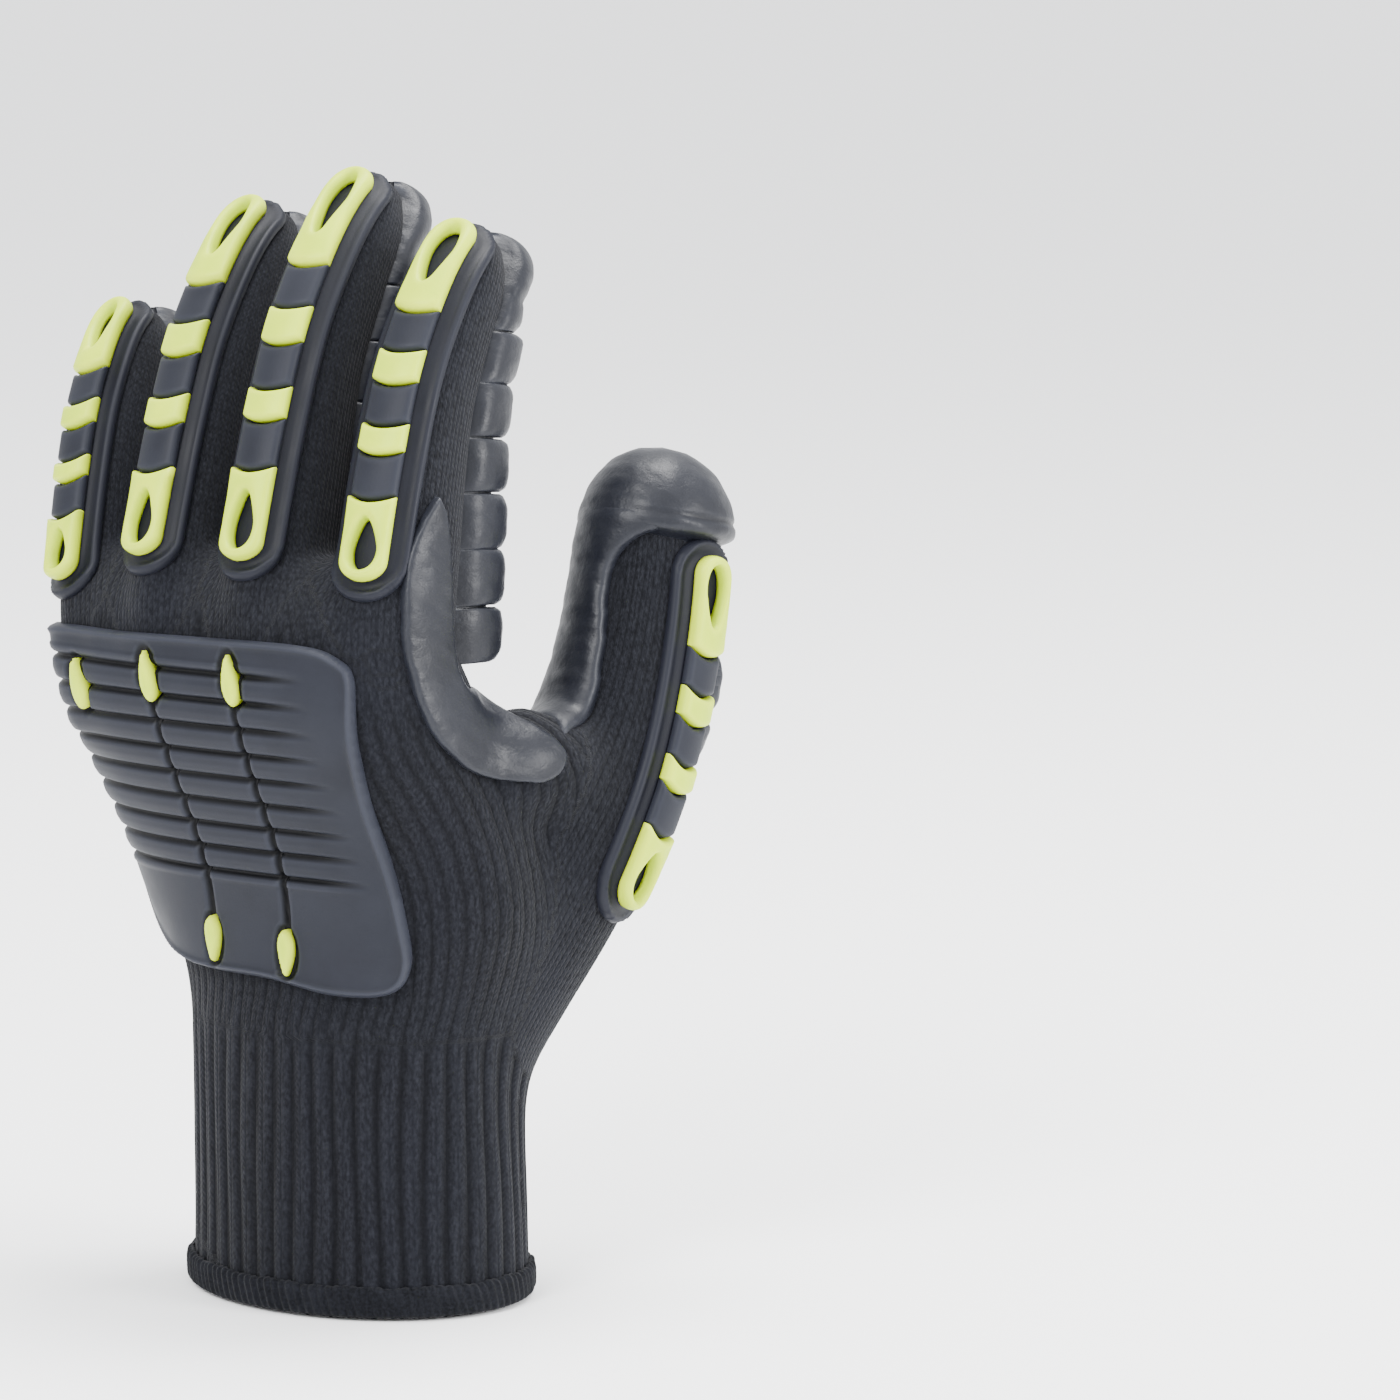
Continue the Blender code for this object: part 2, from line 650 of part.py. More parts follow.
# Back plate
PLATE_THICKNESS = 2.4
PLATE_RIB = 1.2
PLATE_RIBS = 9
PLATE_TOP = 0.863        # height of its uppermost groove, as a share of the hand's height
PLATE_PITCH = 5.8
PLATE_FADE = 0.5         # where the ribs run out, as a share of half the palm's breadth
PLATE_OUTLINE = (        # shares of the hand's height and of half the palm's breadth
    (0.885, -1.02), (0.902, -0.85), (0.905, -0.38), (0.908, 0.10), (0.908, 0.52), (0.895, 0.69),
    (0.865, 0.76), (0.775, 0.71), (0.667, 0.655), (0.548, 0.645), (0.476, 0.635), (0.4375, 0.54),
    (0.430, 0.29), (0.443, -0.06), (0.446, -0.54), (0.476, -0.85), (0.548, -1.06),
    (0.655, -1.17), (0.775, -1.17),
)
DROP_LENGTH = 11.0
DROP_WIDTH = 4.4
DROP_COLUMNS = ("name", "height", "across", "point")
DROPS = (
    ("drop_outer", 0.830, -0.73, 1.0),
    ("drop_middle", 0.852, -0.28, 1.0),
    ("drop_inner", 0.857, 0.173, 1.0),
    ("drop_low_outer", 0.488, -0.346, -1.0),
    ("drop_low_inner", 0.482, 0.067, -1.0),
)


def drop_outline(row, grow):
    """A pointed oval; it is widest away from its point."""
    points = []
    for i in range(10):
        turn = 2 * math.pi * i / 10
        taper = 1.0 - 0.35 * math.cos(turn) * row["point"]
        points.append((row["height"] * HAND_HEIGHT + (DROP_LENGTH / 2 + grow) * math.cos(turn),
                       row["across"] * PALM_BREADTH / 2
                       + (DROP_WIDTH / 2 + grow) * taper * math.sin(turn)))
    return points


def build_plate(hand, skin, mat):
    def place(run, across, lift):
        return skin.seat(hand, run, across, lift)

    highest, fade_out = PLATE_TOP * HAND_HEIGHT, PLATE_FADE * PALM_BREADTH / 2

    def top(run, across):
        lift = SEAT_GAP + PLATE_THICKNESS
        step = (highest - run) / PLATE_PITCH
        if -0.15 < step < PLATE_RIBS - 0.85 and across < fade_out:
            share = (step + 0.15) % 1.0
            fade = min(1.0, (fade_out - across) / 12.0)
            lift += PLATE_RIB * fade * (1.0 - share if share < 0.95 else 0.0)
        return lift

    outline = sized(PLATE_OUTLINE, HAND_HEIGHT, PALM_BREADTH / 2)
    cuts = grid_cuts(outline, 0, 4) + upright_cuts([fade_out])
    for i in range(PLATE_RIBS):
        groove = highest - i * PLATE_PITCH
        cuts += level_cuts([groove + 0.86, groove + 0.4])
    cuts += level_cuts([outline[10][0] + PLATE_PITCH])
    bm = flat_sheet(outline, cuts)
    return solid_sheet("back_plate", bm, place, top, lambda r, a: -3.0, mat)


def build_drop(row, hand, skin, grow, mat):
    bm = flat_sheet(drop_outline(row, grow), [])
    height = PLATE_THICKNESS + PLATE_RIB + 1.0 + (4.0 if grow else 0.0)
    return solid_sheet(row["name"], bm, lambda r, a, l: skin.seat(hand, r, a, l),
                       lambda r, a: SEAT_GAP + height, lambda r, a: -3.0, mat)


# Finger pads
PAD_THICKNESS = 14.5
DOME_THICKNESS = 9.5
PAD_GROOVE = 6.0         # depth of the grooves between ribs
PAD_SIDE = 1.6           # pad beyond the side of the finger
PAD_SQUARE = 4.0
PAD_WRAP = (40.0, 62.0)  # degrees round from the middle of the palm side, at knuckle and tip
PAD_SHEAR = 0.75         # share of the finger's lean that the ribs don't follow
DOME_START = 0.765       # share of the finger's length where the tip's dome begins
PAD_END = 4.5            # dome beyond the end of the finger
RIB_ROWS = ((0.0, 0.0), (0.24, 1.0), (0.76, 1.0))
DOME_ROWS = ((0.0, 0.0), (0.12, 0.82), (0.35, 1.0), (0.62, 1.0), (0.82, 0.80), (0.94, 0.52),
             (1.0, 0.28))
PAD_TURNS = (-1.0, -0.72, -0.45, 0.0, 0.45, 0.72, 1.0)
PAD_LOW = -2.0           # lower end of the finger pads from the knuckle


def build_finger_pad(row, sleeve, mat):
    """Ribs across the finger and a dome on its tip, as one pad round its palm side."""
    length = row["length"]
    dome = DOME_START * length
    pitch = (dome - PAD_LOW) / row["ribs"]
    stations = [(PAD_LOW + (i + at) * pitch, share) for i in range(round(row["ribs"]))
                for at, share in RIB_ROWS]
    stations += [(dome + (length + PAD_END - dome) * at, share) for at, share in DOME_ROWS]
    bm = bmesh.new()
    grids = []
    for run, share in stations:
        centre, side, back, ahead, wide, deep = sleeve.frame(min(run, length * 0.84))
        if run > length * 0.84:
            centre = finger_line(row, run)[0]
            ahead = finger_line(row, run)[1]
            back = (back - ahead * back.dot(ahead)).normalized()
        follow = math.asin(max(-1.0, min(ahead.y, 1.0))) * PAD_SHEAR
        forward, inward = math.sin(follow), math.cos(follow)
        thick = (PAD_THICKNESS
                 - (PAD_THICKNESS - DOME_THICKNESS) * min(1.0, max(run, 0.0) / dome) ** 2)
        tip = max(0.0, (run - dome) / (length + PAD_END - dome))
        if tip < 0.6:
            reach = deep + thick - PAD_GROOVE * (1.0 - share)
            width = wide + PAD_SIDE - 1.2 * (1.0 - share)
            full = 1.0
        else:
            reach, width, full = (deep + thick) * share, (wide + PAD_SIDE) * share, share
        upper, lower = [], []
        wrap = PAD_WRAP[0] + (PAD_WRAP[1] - PAD_WRAP[0]) * min(1.0, max(run, 0.0) / dome)
        for t in PAD_TURNS:
            turn = math.radians(wrap * t)
            s, c = math.sin(turn), math.cos(turn)
            radius = (abs(s / width) ** PAD_SQUARE + abs(c / reach) ** PAD_SQUARE) ** (-1 / PAD_SQUARE)
            root = 0.35 * min(deep, wide) * full
            for grid, r in ((upper, radius), (lower, root)):
                place = (centre + side * (s * r) - back * (c * r * inward)
                         + ahead * (c * r * forward))
                grid.append(bm.verts.new(place))
        grids.append((upper, lower))
    n = len(PAD_TURNS)
    for (up_a, low_a), (up_b, low_b) in zip(grids, grids[1:]):
        for i in range(n - 1):
            bm.faces.new((up_a[i], up_a[i + 1], up_b[i + 1], up_b[i]))
            bm.faces.new((low_a[i], low_b[i], low_b[i + 1], low_a[i + 1]))
        bm.faces.new((up_a[0], up_b[0], low_b[0], low_a[0]))
        bm.faces.new((up_a[-1], low_a[-1], low_b[-1], up_b[-1]))
    for up, low in (grids[0], grids[-1]):
        for i in range(n - 1):
            bm.faces.new((up[i], low[i], low[i + 1], up[i + 1]))
    bmesh.ops.recalc_face_normals(bm, faces=bm.faces)
    return new_object(row["name"] + "_pad", bm, mat)


# Palm pads
PALM_PAD_LOW = 1.6
PALM_PAD_RISE = 6.0
BAR_TILT = 0.42
BAR_PITCH = 11.2
BAR_ROWS = 7
BAR_GROOVE = 2.2
BAR_START = 0.512        # height of the lowest groove, as a share of the hand's height
BAR_COLUMNS = (-0.88, -0.46)     # where the columns meet, as shares of half the breadth
PALM_OUTLINE = (         # shares of the hand's height and of half the palm's breadth
    (0.825, -1.20), (0.835, -0.73), (0.863, -0.62), (0.863, -0.46), (0.827, -0.19),
    (0.714, -0.06), (0.620, 0.00), (0.540, -0.06), (0.475, -0.18), (0.415, -0.28),
    (0.435, -0.615), (0.488, -0.96), (0.565, -1.155), (0.685, -1.23),
)
FAN_RIBS = 7
FAN_OUTLINE = (          # shares of the hand's height and of half the palm's breadth
    (0.812, 0.80), (0.785, 0.846), (0.726, 0.827), (0.661, 0.74), (0.577, 0.538), (0.506, 0.25),
    (0.452, 0.04), (0.423, -0.135), (0.440, -0.10), (0.500, 0.08), (0.583, 0.22),
    (0.643, 0.35), (0.690, 0.50), (0.738, 0.63), (0.785, 0.71), (0.812, 0.75),
)
FAN_CENTRE = (0.661, -0.04)
FAN_FIRST, FAN_LAST = -100.0, 42.0
THUMB_PAD_OUTLINE = (    # shares of the thumb's rise along it and of its width round it
    (0.605, 0.95), (0.590, 1.20), (0.600, 1.50), (0.637, 1.66), (0.705, 1.66), (0.745, 1.55),
    (0.768, 1.35), (0.774, 1.15), (0.762, 0.95), (0.720, 0.85), (0.663, 0.85),
)
THUMB_PAD_RISE = 9.0


def edge_distance(outline, run, across):
    """Distance of a place from the nearest edge of an outline."""
    best = 1e9
    for (r0, a0), (r1, a1) in zip(outline, outline[1:] + outline[:1]):
        dr, da = r1 - r0, a1 - a0
        t = max(0.0, min(1.0, ((run - r0) * dr + (across - a0) * da) / (dr * dr + da * da)))
        best = min(best, math.hypot(run - r0 - t * dr, across - a0 - t * da))
    return best


def build_palm_pad(hand, skin, mat):
    """Slanting rounded bars in staggered columns over a heel band."""
    outline = sized(PALM_OUTLINE, HAND_HEIGHT, PALM_BREADTH / 2)
    columns = [share * PALM_BREADTH / 2 for share in BAR_COLUMNS]
    start, middle = BAR_START * HAND_HEIGHT, -0.58 * PALM_BREADTH / 2

    def place(run, across, lift):
        return skin.seat(hand, run, -hand.half_girth(run) - across, lift, 14.0)

    def top(run, across):
        step = (run - start + BAR_TILT * (across - middle)) / BAR_PITCH
        to_groove = min(step % 1.0, 1.0 - step % 1.0) * BAR_PITCH
        if step < -0.02:
            to_groove = abs(step) * BAR_PITCH
        column = columns[int(math.floor(step)) % 2]
        to_column = abs(across - column) if step > 0 else 99.0
        near = min(ramp(to_groove, BAR_GROOVE), ramp(to_column, BAR_GROOVE),
                   ramp(edge_distance(outline, run, across), 3.0))
        return SEAT_GAP + PALM_PAD_LOW + PALM_PAD_RISE * near

    cuts = upright_cuts([c + d for c in columns for d in (-BAR_GROOVE, 0.0, BAR_GROOVE)]
                        + [-1.12 * PALM_BREADTH / 2, -0.23 * PALM_BREADTH / 2])
    for i in range(BAR_ROWS + 1):
        for shift in (-BAR_GROOVE, 0.0, BAR_GROOVE):
            cuts.append(((start + i * BAR_PITCH + shift, middle), (-BAR_TILT, 1.0)))
    bm = flat_sheet(outline, cuts)
    return solid_sheet("palm_pad", bm, place, top, lambda r, a: -3.0, mat)


def build_fan_pad(face, mat):
    """Ribs that fan round the hollow of the palm, over the ball of the thumb."""
    pitch = (FAN_LAST - FAN_FIRST) / FAN_RIBS
    outline = sized(FAN_OUTLINE, HAND_HEIGHT, PALM_BREADTH / 2)
    centre_up, centre_out = sized([FAN_CENTRE], HAND_HEIGHT, PALM_BREADTH / 2)[0]

    def top(height, out):
        rise, side = height - centre_up, out - centre_out
        turn = math.degrees(math.atan2(rise, side))
        if turn > 120.0:
            turn -= 360.0
        step = (turn - FAN_FIRST) / pitch
        to_groove = min(step % 1.0, 1.0 - step % 1.0) * math.radians(pitch) * math.hypot(rise, side)
        near = min(ramp(to_groove, 2.2), ramp(edge_distance(outline, height, out), 3.0))
        return SEAT_GAP + PALM_PAD_LOW + PALM_PAD_RISE * near

    cuts = []
    for i in range(1, FAN_RIBS):
        turn = math.radians(FAN_FIRST + i * pitch)
        rise, side = math.sin(turn), math.cos(turn)
        for shift in (-2.2, 0.0, 2.2):
            cuts.append(((centre_up + shift * side, centre_out - shift * rise), (rise, side)))
    bm = flat_sheet(outline, cuts)
    return solid_sheet("thenar_pad", bm, face.seat, top, lambda r, a: -10.0, mat)


def build_thumb_pad(thumb, skin, mat):
    """The smooth pad on the palm side of the thumb's tip."""
    outline = sized(THUMB_PAD_OUTLINE, THUMB_RISE, THUMB_WIDTH)

    def top(run, across):
        near = ramp(edge_distance(outline, run, across), 9.0)
        return SEAT_GAP + 2.0 + (THUMB_PAD_RISE - 2.0) * near

    bm = flat_sheet(outline, grid_cuts(outline, 5, 4))
    return solid_sheet("thumb_pad", bm, lambda r, a, l: skin.seat(thumb, r, a, l, 6.0), top,
                       lambda r, a: -3.0, mat)


# Smooth patches at the crotch of the thumb
PATCH_THICKNESS = 1.8
CAP_START = 0.788        # where the cap over the thumb's tip begins, as a share of its rise
LEAF_OUTLINE = (         # shares of the hand's height and of the palm's depth
    (1.113, -0.36), (1.095, -0.31), (1.060, -0.28), (0.935, -0.28), (0.858, -0.27),
    (0.846, -0.06), (0.790, 0.00), (0.738, -0.02), (0.726, -0.155), (0.756, -0.43),
    (0.815, -0.54), (0.923, -0.54), (1.018, -0.49), (1.070, -0.43),
)
THUMB_PATCH_OUTLINE = (  # shares of the thumb's rise along it and of its width round it
    (0.421, -0.97), (0.453, -0.645), (0.516, -0.55), (0.600, -0.58), (0.695, -0.68),
    (0.752, -0.55), (0.785, -0.26), (0.805, -0.26), (0.805, -1.20), (0.737, -1.38),
    (0.632, -1.40), (0.537, -1.42), (0.453, -1.36),
)


def build_patch(name, place, outline, levels, uprights, mat):
    bm = flat_sheet(outline, grid_cuts(outline, levels, uprights))
    return solid_sheet(name, bm, place, lambda r, a: SEAT_GAP + PATCH_THICKNESS,
                       lambda r, a: -2.5, mat)


def merge_flat(obj):
    """Slivers that a cut left loose go, and faces that lie flat beside each other become
    one."""
    bm = bmesh.new()
    bm.from_mesh(obj.data)
    bm.verts.ensure_lookup_table()
    left, largest = set(bm.verts), []
    while left:
        found, edge = [], [left.pop()]
        while edge:
            v = edge.pop()
            found.append(v)
            for e in v.link_edges:
                other = e.other_vert(v)
                if other in left:
                    left.remove(other)
                    edge.append(other)
        largest.append(found)
    if obj.name != "liner":
        largest.sort(key=lambda part: -len(part))
        for part in largest[1:]:
            bmesh.ops.delete(bm, geom=part, context="VERTS")
    bmesh.ops.remove_doubles(bm, verts=bm.verts[:], dist=0.004 * MM)
    bmesh.ops.dissolve_limit(bm, angle_limit=math.radians(FLAT_TURN), verts=bm.verts[:],
                             edges=bm.edges[:], use_dissolve_boundaries=False)
    bmesh.ops.triangulate(bm, faces=bm.faces[:])
    bm.to_mesh(obj.data)
    bm.free()


def main():
    for obj in list(bpy.data.objects):
        bpy.data.objects.remove(obj)
    knit = material("charcoal_knit", (0.022, 0.024, 0.033), 0.95)
    edge = material("overlock_thread", (0.014, 0.015, 0.020), 0.95)
    foam = material("grey_foam_rubber", (0.055, 0.060, 0.074), 0.55)
    black = material("black_guard_rubber", (0.020, 0.022, 0.033), 0.5)
    plate = material("grey_guard_rubber", (0.075, 0.080, 0.100), 0.5)
    yellow = material("signal_yellow_rubber", (0.72, 0.80, 0.09), 0.5)

    hand = hand_sleeve()
    finger_rows = rows(FINGER_COLUMNS, FINGER_ROWS)
    fingers = [finger_sleeve(row) for row in finger_rows]
    thumb = thumb_sleeve()
    sleeves = [hand] + fingers + [thumb]
    build_liner(sleeves, knit)
    build_hem(hand, edge)
    cutter = hand_form("seat", sleeves, SEAT_GAP, knit)
    skin = Skin(hand_form("skin", sleeves, 0.0, knit))
    palm_form, thumb_form = hand_form("palm", [hand], 0.0, knit), hand_form("ball", [thumb], 0.0, knit)
    face = PalmFace((palm_form, thumb_form))

    seated = []
    for row, sleeve in zip(finger_rows, fingers):
        low, high = GUARD_LOW * row["length"], GUARD_HIGH * row["length"]
        guard = Guard(sleeve, skin, low, high, row["guard_turn"], row["guard_turn"],
                      row["width"] / finger_rows[0]["width"])
        spans = guard_spans(low, high)
        seated.append(build_guard_base(row["name"] + "_guard", guard, spans, black))
        for piece, start, end in spans:
            build = build_loop if piece.endswith("loop") else build_chevron
            build(row["name"] + "_" + piece, guard, start, end, yellow)
        seated.append(build_finger_pad(row, sleeve, foam))

    low, high = THUMB_GUARD_LOW * THUMB_RISE, THUMB_GUARD_HIGH * THUMB_RISE
    guard = Guard(thumb, skin, low, high, *THUMB_GUARD_TURN, 1.05)
    spans = guard_spans(low, high)
    seated.append(build_guard_base("thumb_guard", guard, spans, black))
    for piece, start, end in spans:
        build = build_loop if piece.endswith("loop") else build_chevron
        build("thumb_" + piece, guard, start, end, yellow)

    back_plate = build_plate(hand, skin, plate)
    for row in rows(DROP_COLUMNS, DROPS):
        pocket = build_drop(row, hand, skin, SEAT_GAP, plate)
        combine(back_plate, pocket, "DIFFERENCE")
        remove(pocket)
        seated.append(build_drop(row, hand, skin, 0.0, yellow))
    seated.append(back_plate)
    seated.append(build_palm_pad(hand, skin, foam))
    seated.append(build_fan_pad(face, foam))
    seated.append(build_thumb_pad(thumb, skin, foam))
    side_face = ThumbSideFace(skin)
    seated.append(build_patch("crotch_patch", side_face.seat,
                              sized(LEAF_OUTLINE, HAND_HEIGHT, PALM_DEPTH), 4, 2, foam))
    seated.append(build_patch("thumb_patch", lambda r, a, l: skin.seat(thumb, r, a, l, 6.0),
                              sized(THUMB_PATCH_OUTLINE, THUMB_RISE, THUMB_WIDTH), 4, 3, foam))
    cap = new_object("cap", sleeve_mesh(thumb, SEAT_GAP + PATCH_THICKNESS, thumb.sides,
                                        CAP_START * THUMB_RISE), foam)
    combine(seated[-1], cap, "UNION")
    remove(cap)
    for piece in seated:
        combine(piece, cutter, "DIFFERENCE", folded=piece.name.endswith(("_pad", "_patch")))
    for obj in [o for o in bpy.data.objects if o.name in ("seat", "skin", "palm", "ball")]:
        remove(obj)
    for obj in bpy.data.objects:
        merge_flat(obj)


main()
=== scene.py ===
import math

import bmesh
import bpy
import numpy as np
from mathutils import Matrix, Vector
from mathutils.bvhtree import BVHTree


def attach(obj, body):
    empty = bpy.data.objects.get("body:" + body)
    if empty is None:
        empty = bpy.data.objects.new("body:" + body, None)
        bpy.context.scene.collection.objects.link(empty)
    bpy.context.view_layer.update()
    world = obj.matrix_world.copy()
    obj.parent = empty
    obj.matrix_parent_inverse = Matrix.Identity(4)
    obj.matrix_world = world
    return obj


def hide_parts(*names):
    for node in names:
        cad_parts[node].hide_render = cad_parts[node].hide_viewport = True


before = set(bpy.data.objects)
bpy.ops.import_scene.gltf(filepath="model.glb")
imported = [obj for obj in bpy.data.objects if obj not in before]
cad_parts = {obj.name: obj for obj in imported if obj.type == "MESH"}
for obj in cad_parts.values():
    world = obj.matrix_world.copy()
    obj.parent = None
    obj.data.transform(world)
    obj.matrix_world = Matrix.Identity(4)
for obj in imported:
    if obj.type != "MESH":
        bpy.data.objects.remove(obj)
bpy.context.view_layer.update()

# The photograph's camera. It looks at the back of the glove from its thumb side and
# a little from above, from about 1.5 m, through a long lens.
CAMERA_TURN, CAMERA_RISE, CAMERA_REACH = 38.0, 8.89, 1.5
CAMERA_LENS, CAMERA_FILM, CAMERA_LIMIT = 169.9, 36.0, 20.0
LOOKED_AT = Vector((0.0, 0.0, 0.120))
PICTURE_RIGHT, PICTURE_UP = 0.0780, 0.0132
turn, rise = math.radians(CAMERA_TURN), math.radians(CAMERA_RISE)
to_camera = Vector((math.sin(turn) * math.cos(rise), -math.cos(turn) * math.cos(rise),
                    math.sin(rise)))
to_right = Vector((math.cos(turn), math.sin(turn), 0.0))
to_top = to_camera.cross(to_right)
camera = bpy.data.objects.new("camera", bpy.data.cameras.new("camera"))
bpy.context.scene.collection.objects.link(camera)
camera.location = LOOKED_AT + to_camera * CAMERA_REACH
aim = LOOKED_AT + to_right * PICTURE_RIGHT + to_top * PICTURE_UP
camera.rotation_euler = (aim - camera.location).to_track_quat("-Z", "Y").to_euler()
camera.data.lens = CAMERA_LENS
camera.data.sensor_width = CAMERA_FILM
camera.data.clip_end = CAMERA_LIMIT
bpy.context.scene.camera = camera

# The studio: a plain pale floor and a pale room, as on a product photograph, with three
# soft lights: one before the glove, one at its thumb side and one above it.
FLOOR_REACH, FLOOR_DROP, FLOOR_TONE, FLOOR_ROUGHNESS = 40, 0.0016, 0.95, 0.9
ROOM_TONE, ROOM_STRENGTH = (0.97, 0.98, 1.0, 1.0), 2.3
LIT_PLACE = Vector((0, 0, 0.13))
floor_mesh = bpy.data.meshes.new("floor")
floor_mesh.from_pydata([(x * FLOOR_REACH, y * FLOOR_REACH, 0)
                        for x, y in ((-1, -1), (1, -1), (1, 1), (-1, 1))], [], [(0, 1, 2, 3)])
floor = bpy.data.objects.new("floor", floor_mesh)
floor.location = (0.0, 0.0, -FLOOR_DROP)
bpy.context.scene.collection.objects.link(floor)
floor_paint = bpy.data.materials.new("floor_paint")
floor_paint.use_nodes = True
floor_sockets = floor_paint.node_tree.nodes["Principled BSDF"].inputs
floor_sockets["Base Color"].default_value = (FLOOR_TONE, FLOOR_TONE, FLOOR_TONE, 1)
floor_sockets["Roughness"].default_value = FLOOR_ROUGHNESS
floor_mesh.materials.append(floor_paint)

room = bpy.data.worlds.new("room")
room.use_nodes = True
room.node_tree.nodes["Background"].inputs["Color"].default_value = ROOM_TONE
room.node_tree.nodes["Background"].inputs["Strength"].default_value = ROOM_STRENGTH
bpy.context.scene.world = room
LIGHTS = (                   # name, place, power in watts, size across in metres
    ("key", (0.15, -1.30, 1.25), 34.0, 0.6),
    ("side", (1.45, 0.20, 0.60), 26.0, 0.5),
    ("top", (0.1, 0.35, 1.50), 40.0, 0.7),
)
for name, place, watts, size in LIGHTS:
    lamp = bpy.data.lights.new(name, "AREA")
    lamp.energy, lamp.size = watts, size
    light = bpy.data.objects.new(name, lamp)
    light.location = place
    light.rotation_euler = (LIT_PLACE - Vector(place)).to_track_quat("-Z", "Y").to_euler()
    bpy.context.scene.collection.objects.link(light)


# The sleeve is one knitted tube that runs from the cuff over the palm, with four
# finger tubes and a thumb tube. A flat-bed machine knits it in one piece from
# charcoal yarn, with a deep rib at the cuff and a finer one over the hand.
MM = 0.001
CUFF_BREADTH, CUFF_DEPTH, CUFF_HEIGHT = 83.0, 65.0, 62.0
PALM_BREADTH, PALM_DEPTH, PALM_HEIGHT = 104.0, 52.0, 106.0
HAND_HEIGHT = CUFF_HEIGHT + PALM_HEIGHT
HAND_LEAN, HAND_DRIFT = 26.0, 12.0
LINER_WALL = 1.6
SEAT_GAP = 0.3
HAND_SECTIONS = (            # up, then shares of the breadth, depth, drift and lean, squareness
    (0.00, 1.015, 1.015, 0.00, 0.00, 2.0), (0.13, 1.00, 1.00, 0.00, 0.00, 2.0),
    (1.00, 0.99, 0.97, -0.04, 0.02, 2.1), (1.12, 0.87, 1.13, -0.10, 0.02, 2.2),
    (1.25, 0.97, 1.04, -0.05, 0.10, 2.4), (1.40, 1.00, 0.98, 0.14, 0.25, 2.6),
    (1.55, 1.00, 0.96, 0.38, 0.50, 2.8), (1.70, 0.98, 0.90, 0.58, 0.77, 3.0),
    (1.83, 0.95, 0.79, 0.75, 0.90, 3.0), (1.93, 0.91, 0.58, 0.88, 0.98, 3.0),
    (2.00, 0.85, 0.31, 0.96, 1.02, 2.6),
)
FINGERS = {                  # knuckle as shares out, forward and up; length, width, depth;
    # splay, lean at the knuckle and at the tip; turn of the guard; ribs of the pad
    "index": ((0.56, -0.555, 0.893), (101.0, 23.0, 20.5), (4.5, 15.0, 50.0), 8.0, 6),
    "middle": ((0.01, -0.663, 0.899), (114.0, 21.5, 20.5), (5.0, 17.0, 52.0), 3.0, 6),
    "ring": ((-0.490, -0.683, 0.899), (108.0, 21.0, 20.0), (7.5, 20.0, 54.0), -3.0, 6),
    "little": ((-0.940, -0.625, 0.881), (82.0, 19.0, 17.5), (12.5, 19.0, 48.0), -10.0, 5),
}
FINGER_ROOT, FINGER_ROOT_LEAN, LEAN_GROWTH = 26.0, -18.0, 1.5
FINGER_SECTIONS = (          # along, then shares of the width and depth, swell of the palm side
    (-0.26, 0.86, 0.30, 0.50), (0.00, 1.00, 0.98, 0.50), (0.18, 1.00, 1.00, 0.44),
    (0.56, 0.98, 1.00, 0.14), (0.76, 0.97, 0.98, 0.05), (0.91, 0.86, 0.87, 0.00),
    (1.00, 0.50, 0.52, 0.00),
)
THUMB_RISE, THUMB_OUT, THUMB_FORWARD = 190.0, 49.0, 52.5
THUMB_WIDTH, THUMB_DEPTH, THUMB_FACE = 31.0, 27.0, 79.0
THUMB_SECTIONS = (           # shares of the rise, out, forward, width and depth
    (0.24, 0.20, 0.08, 1.36, 1.66), (0.33, 0.40, 0.17, 1.40, 1.68),
    (0.41, 0.58, 0.27, 1.36, 1.56), (0.48, 0.73, 0.38, 1.28, 1.44),
    (0.56, 0.86, 0.51, 1.20, 1.30), (0.64, 0.94, 0.65, 1.12, 1.17),
    (0.74, 0.98, 0.80, 1.07, 1.06), (0.85, 0.98, 0.92, 1.04, 1.04),
    (0.92, 0.97, 0.97, 0.96, 0.96), (0.955, 0.97, 0.99, 0.78, 0.78),
    (0.975, 0.97, 1.00, 0.50, 0.50),
)
WEB_LINE = ((30, -14, 107), (40, -4, 120.5), (45, 9, 122), (48, 26, 113))
WEB_HALF_WIDTH, WEB_HALF_HEIGHT = 11.0, 13.0
STITCHES_ROUND = {"cuff": 44, "hand": 66, "finger": 30, "thumb": 44}
STITCH_PITCH, STITCH_SLANT = 1.35, 0.6
YARN_DARK, YARN_LIGHT = (0.0029, 0.0031, 0.0044), (0.0122, 0.0130, 0.0168)
# Of the three tones below, the first is painted shade between the stitches, the second the yarn's
# own cloudy tone and the third painted shade in the rib valleys.
YARN_STITCH_SHADE, YARN_CLOUDED, YARN_VALLEY_SHADE = ((0.0012, 0.0014, 0.0026), (0.0075, 0.0083, 0.0132),
                                           (0.0006, 0.0007, 0.0013))
FINGER_SQUARE, THUMB_SQUARE, WEB_SQUARE = 2.2, 2.2, 2.0
LINE_STEPS = 24              # short straight steps that make up a finger's bent line
SKIN_CELL = 1.05
EASED_ALL, EASED_JOINTS, EASED_THUMB, EASED_LAST = 14, 50, 110, 4
JOINT_REACH, THUMB_JOINT_REACH = 0.28, 0.45
FINGERS_FROM, THUMB_JOINT_TOP = 150.0, 142.0       # heights
RIB_CLEAR = 0.22             # lead in nearness of one tube over the next for full ribs
CUFF_RIB_TOP, CUFF_RIB_FADE, CUFF_RIB_DEPTH = 66.0, 8.0, 0.70
HAND_RIB_TOP, HAND_RIB_FADE, HAND_RIB_DEPTH, HAND_RIB_SHADE = 178.0, 30.0, 0.30, 0.75
CUFF_CUT = 0.0004            # the lower edge is trimmed flat at this height, in metres


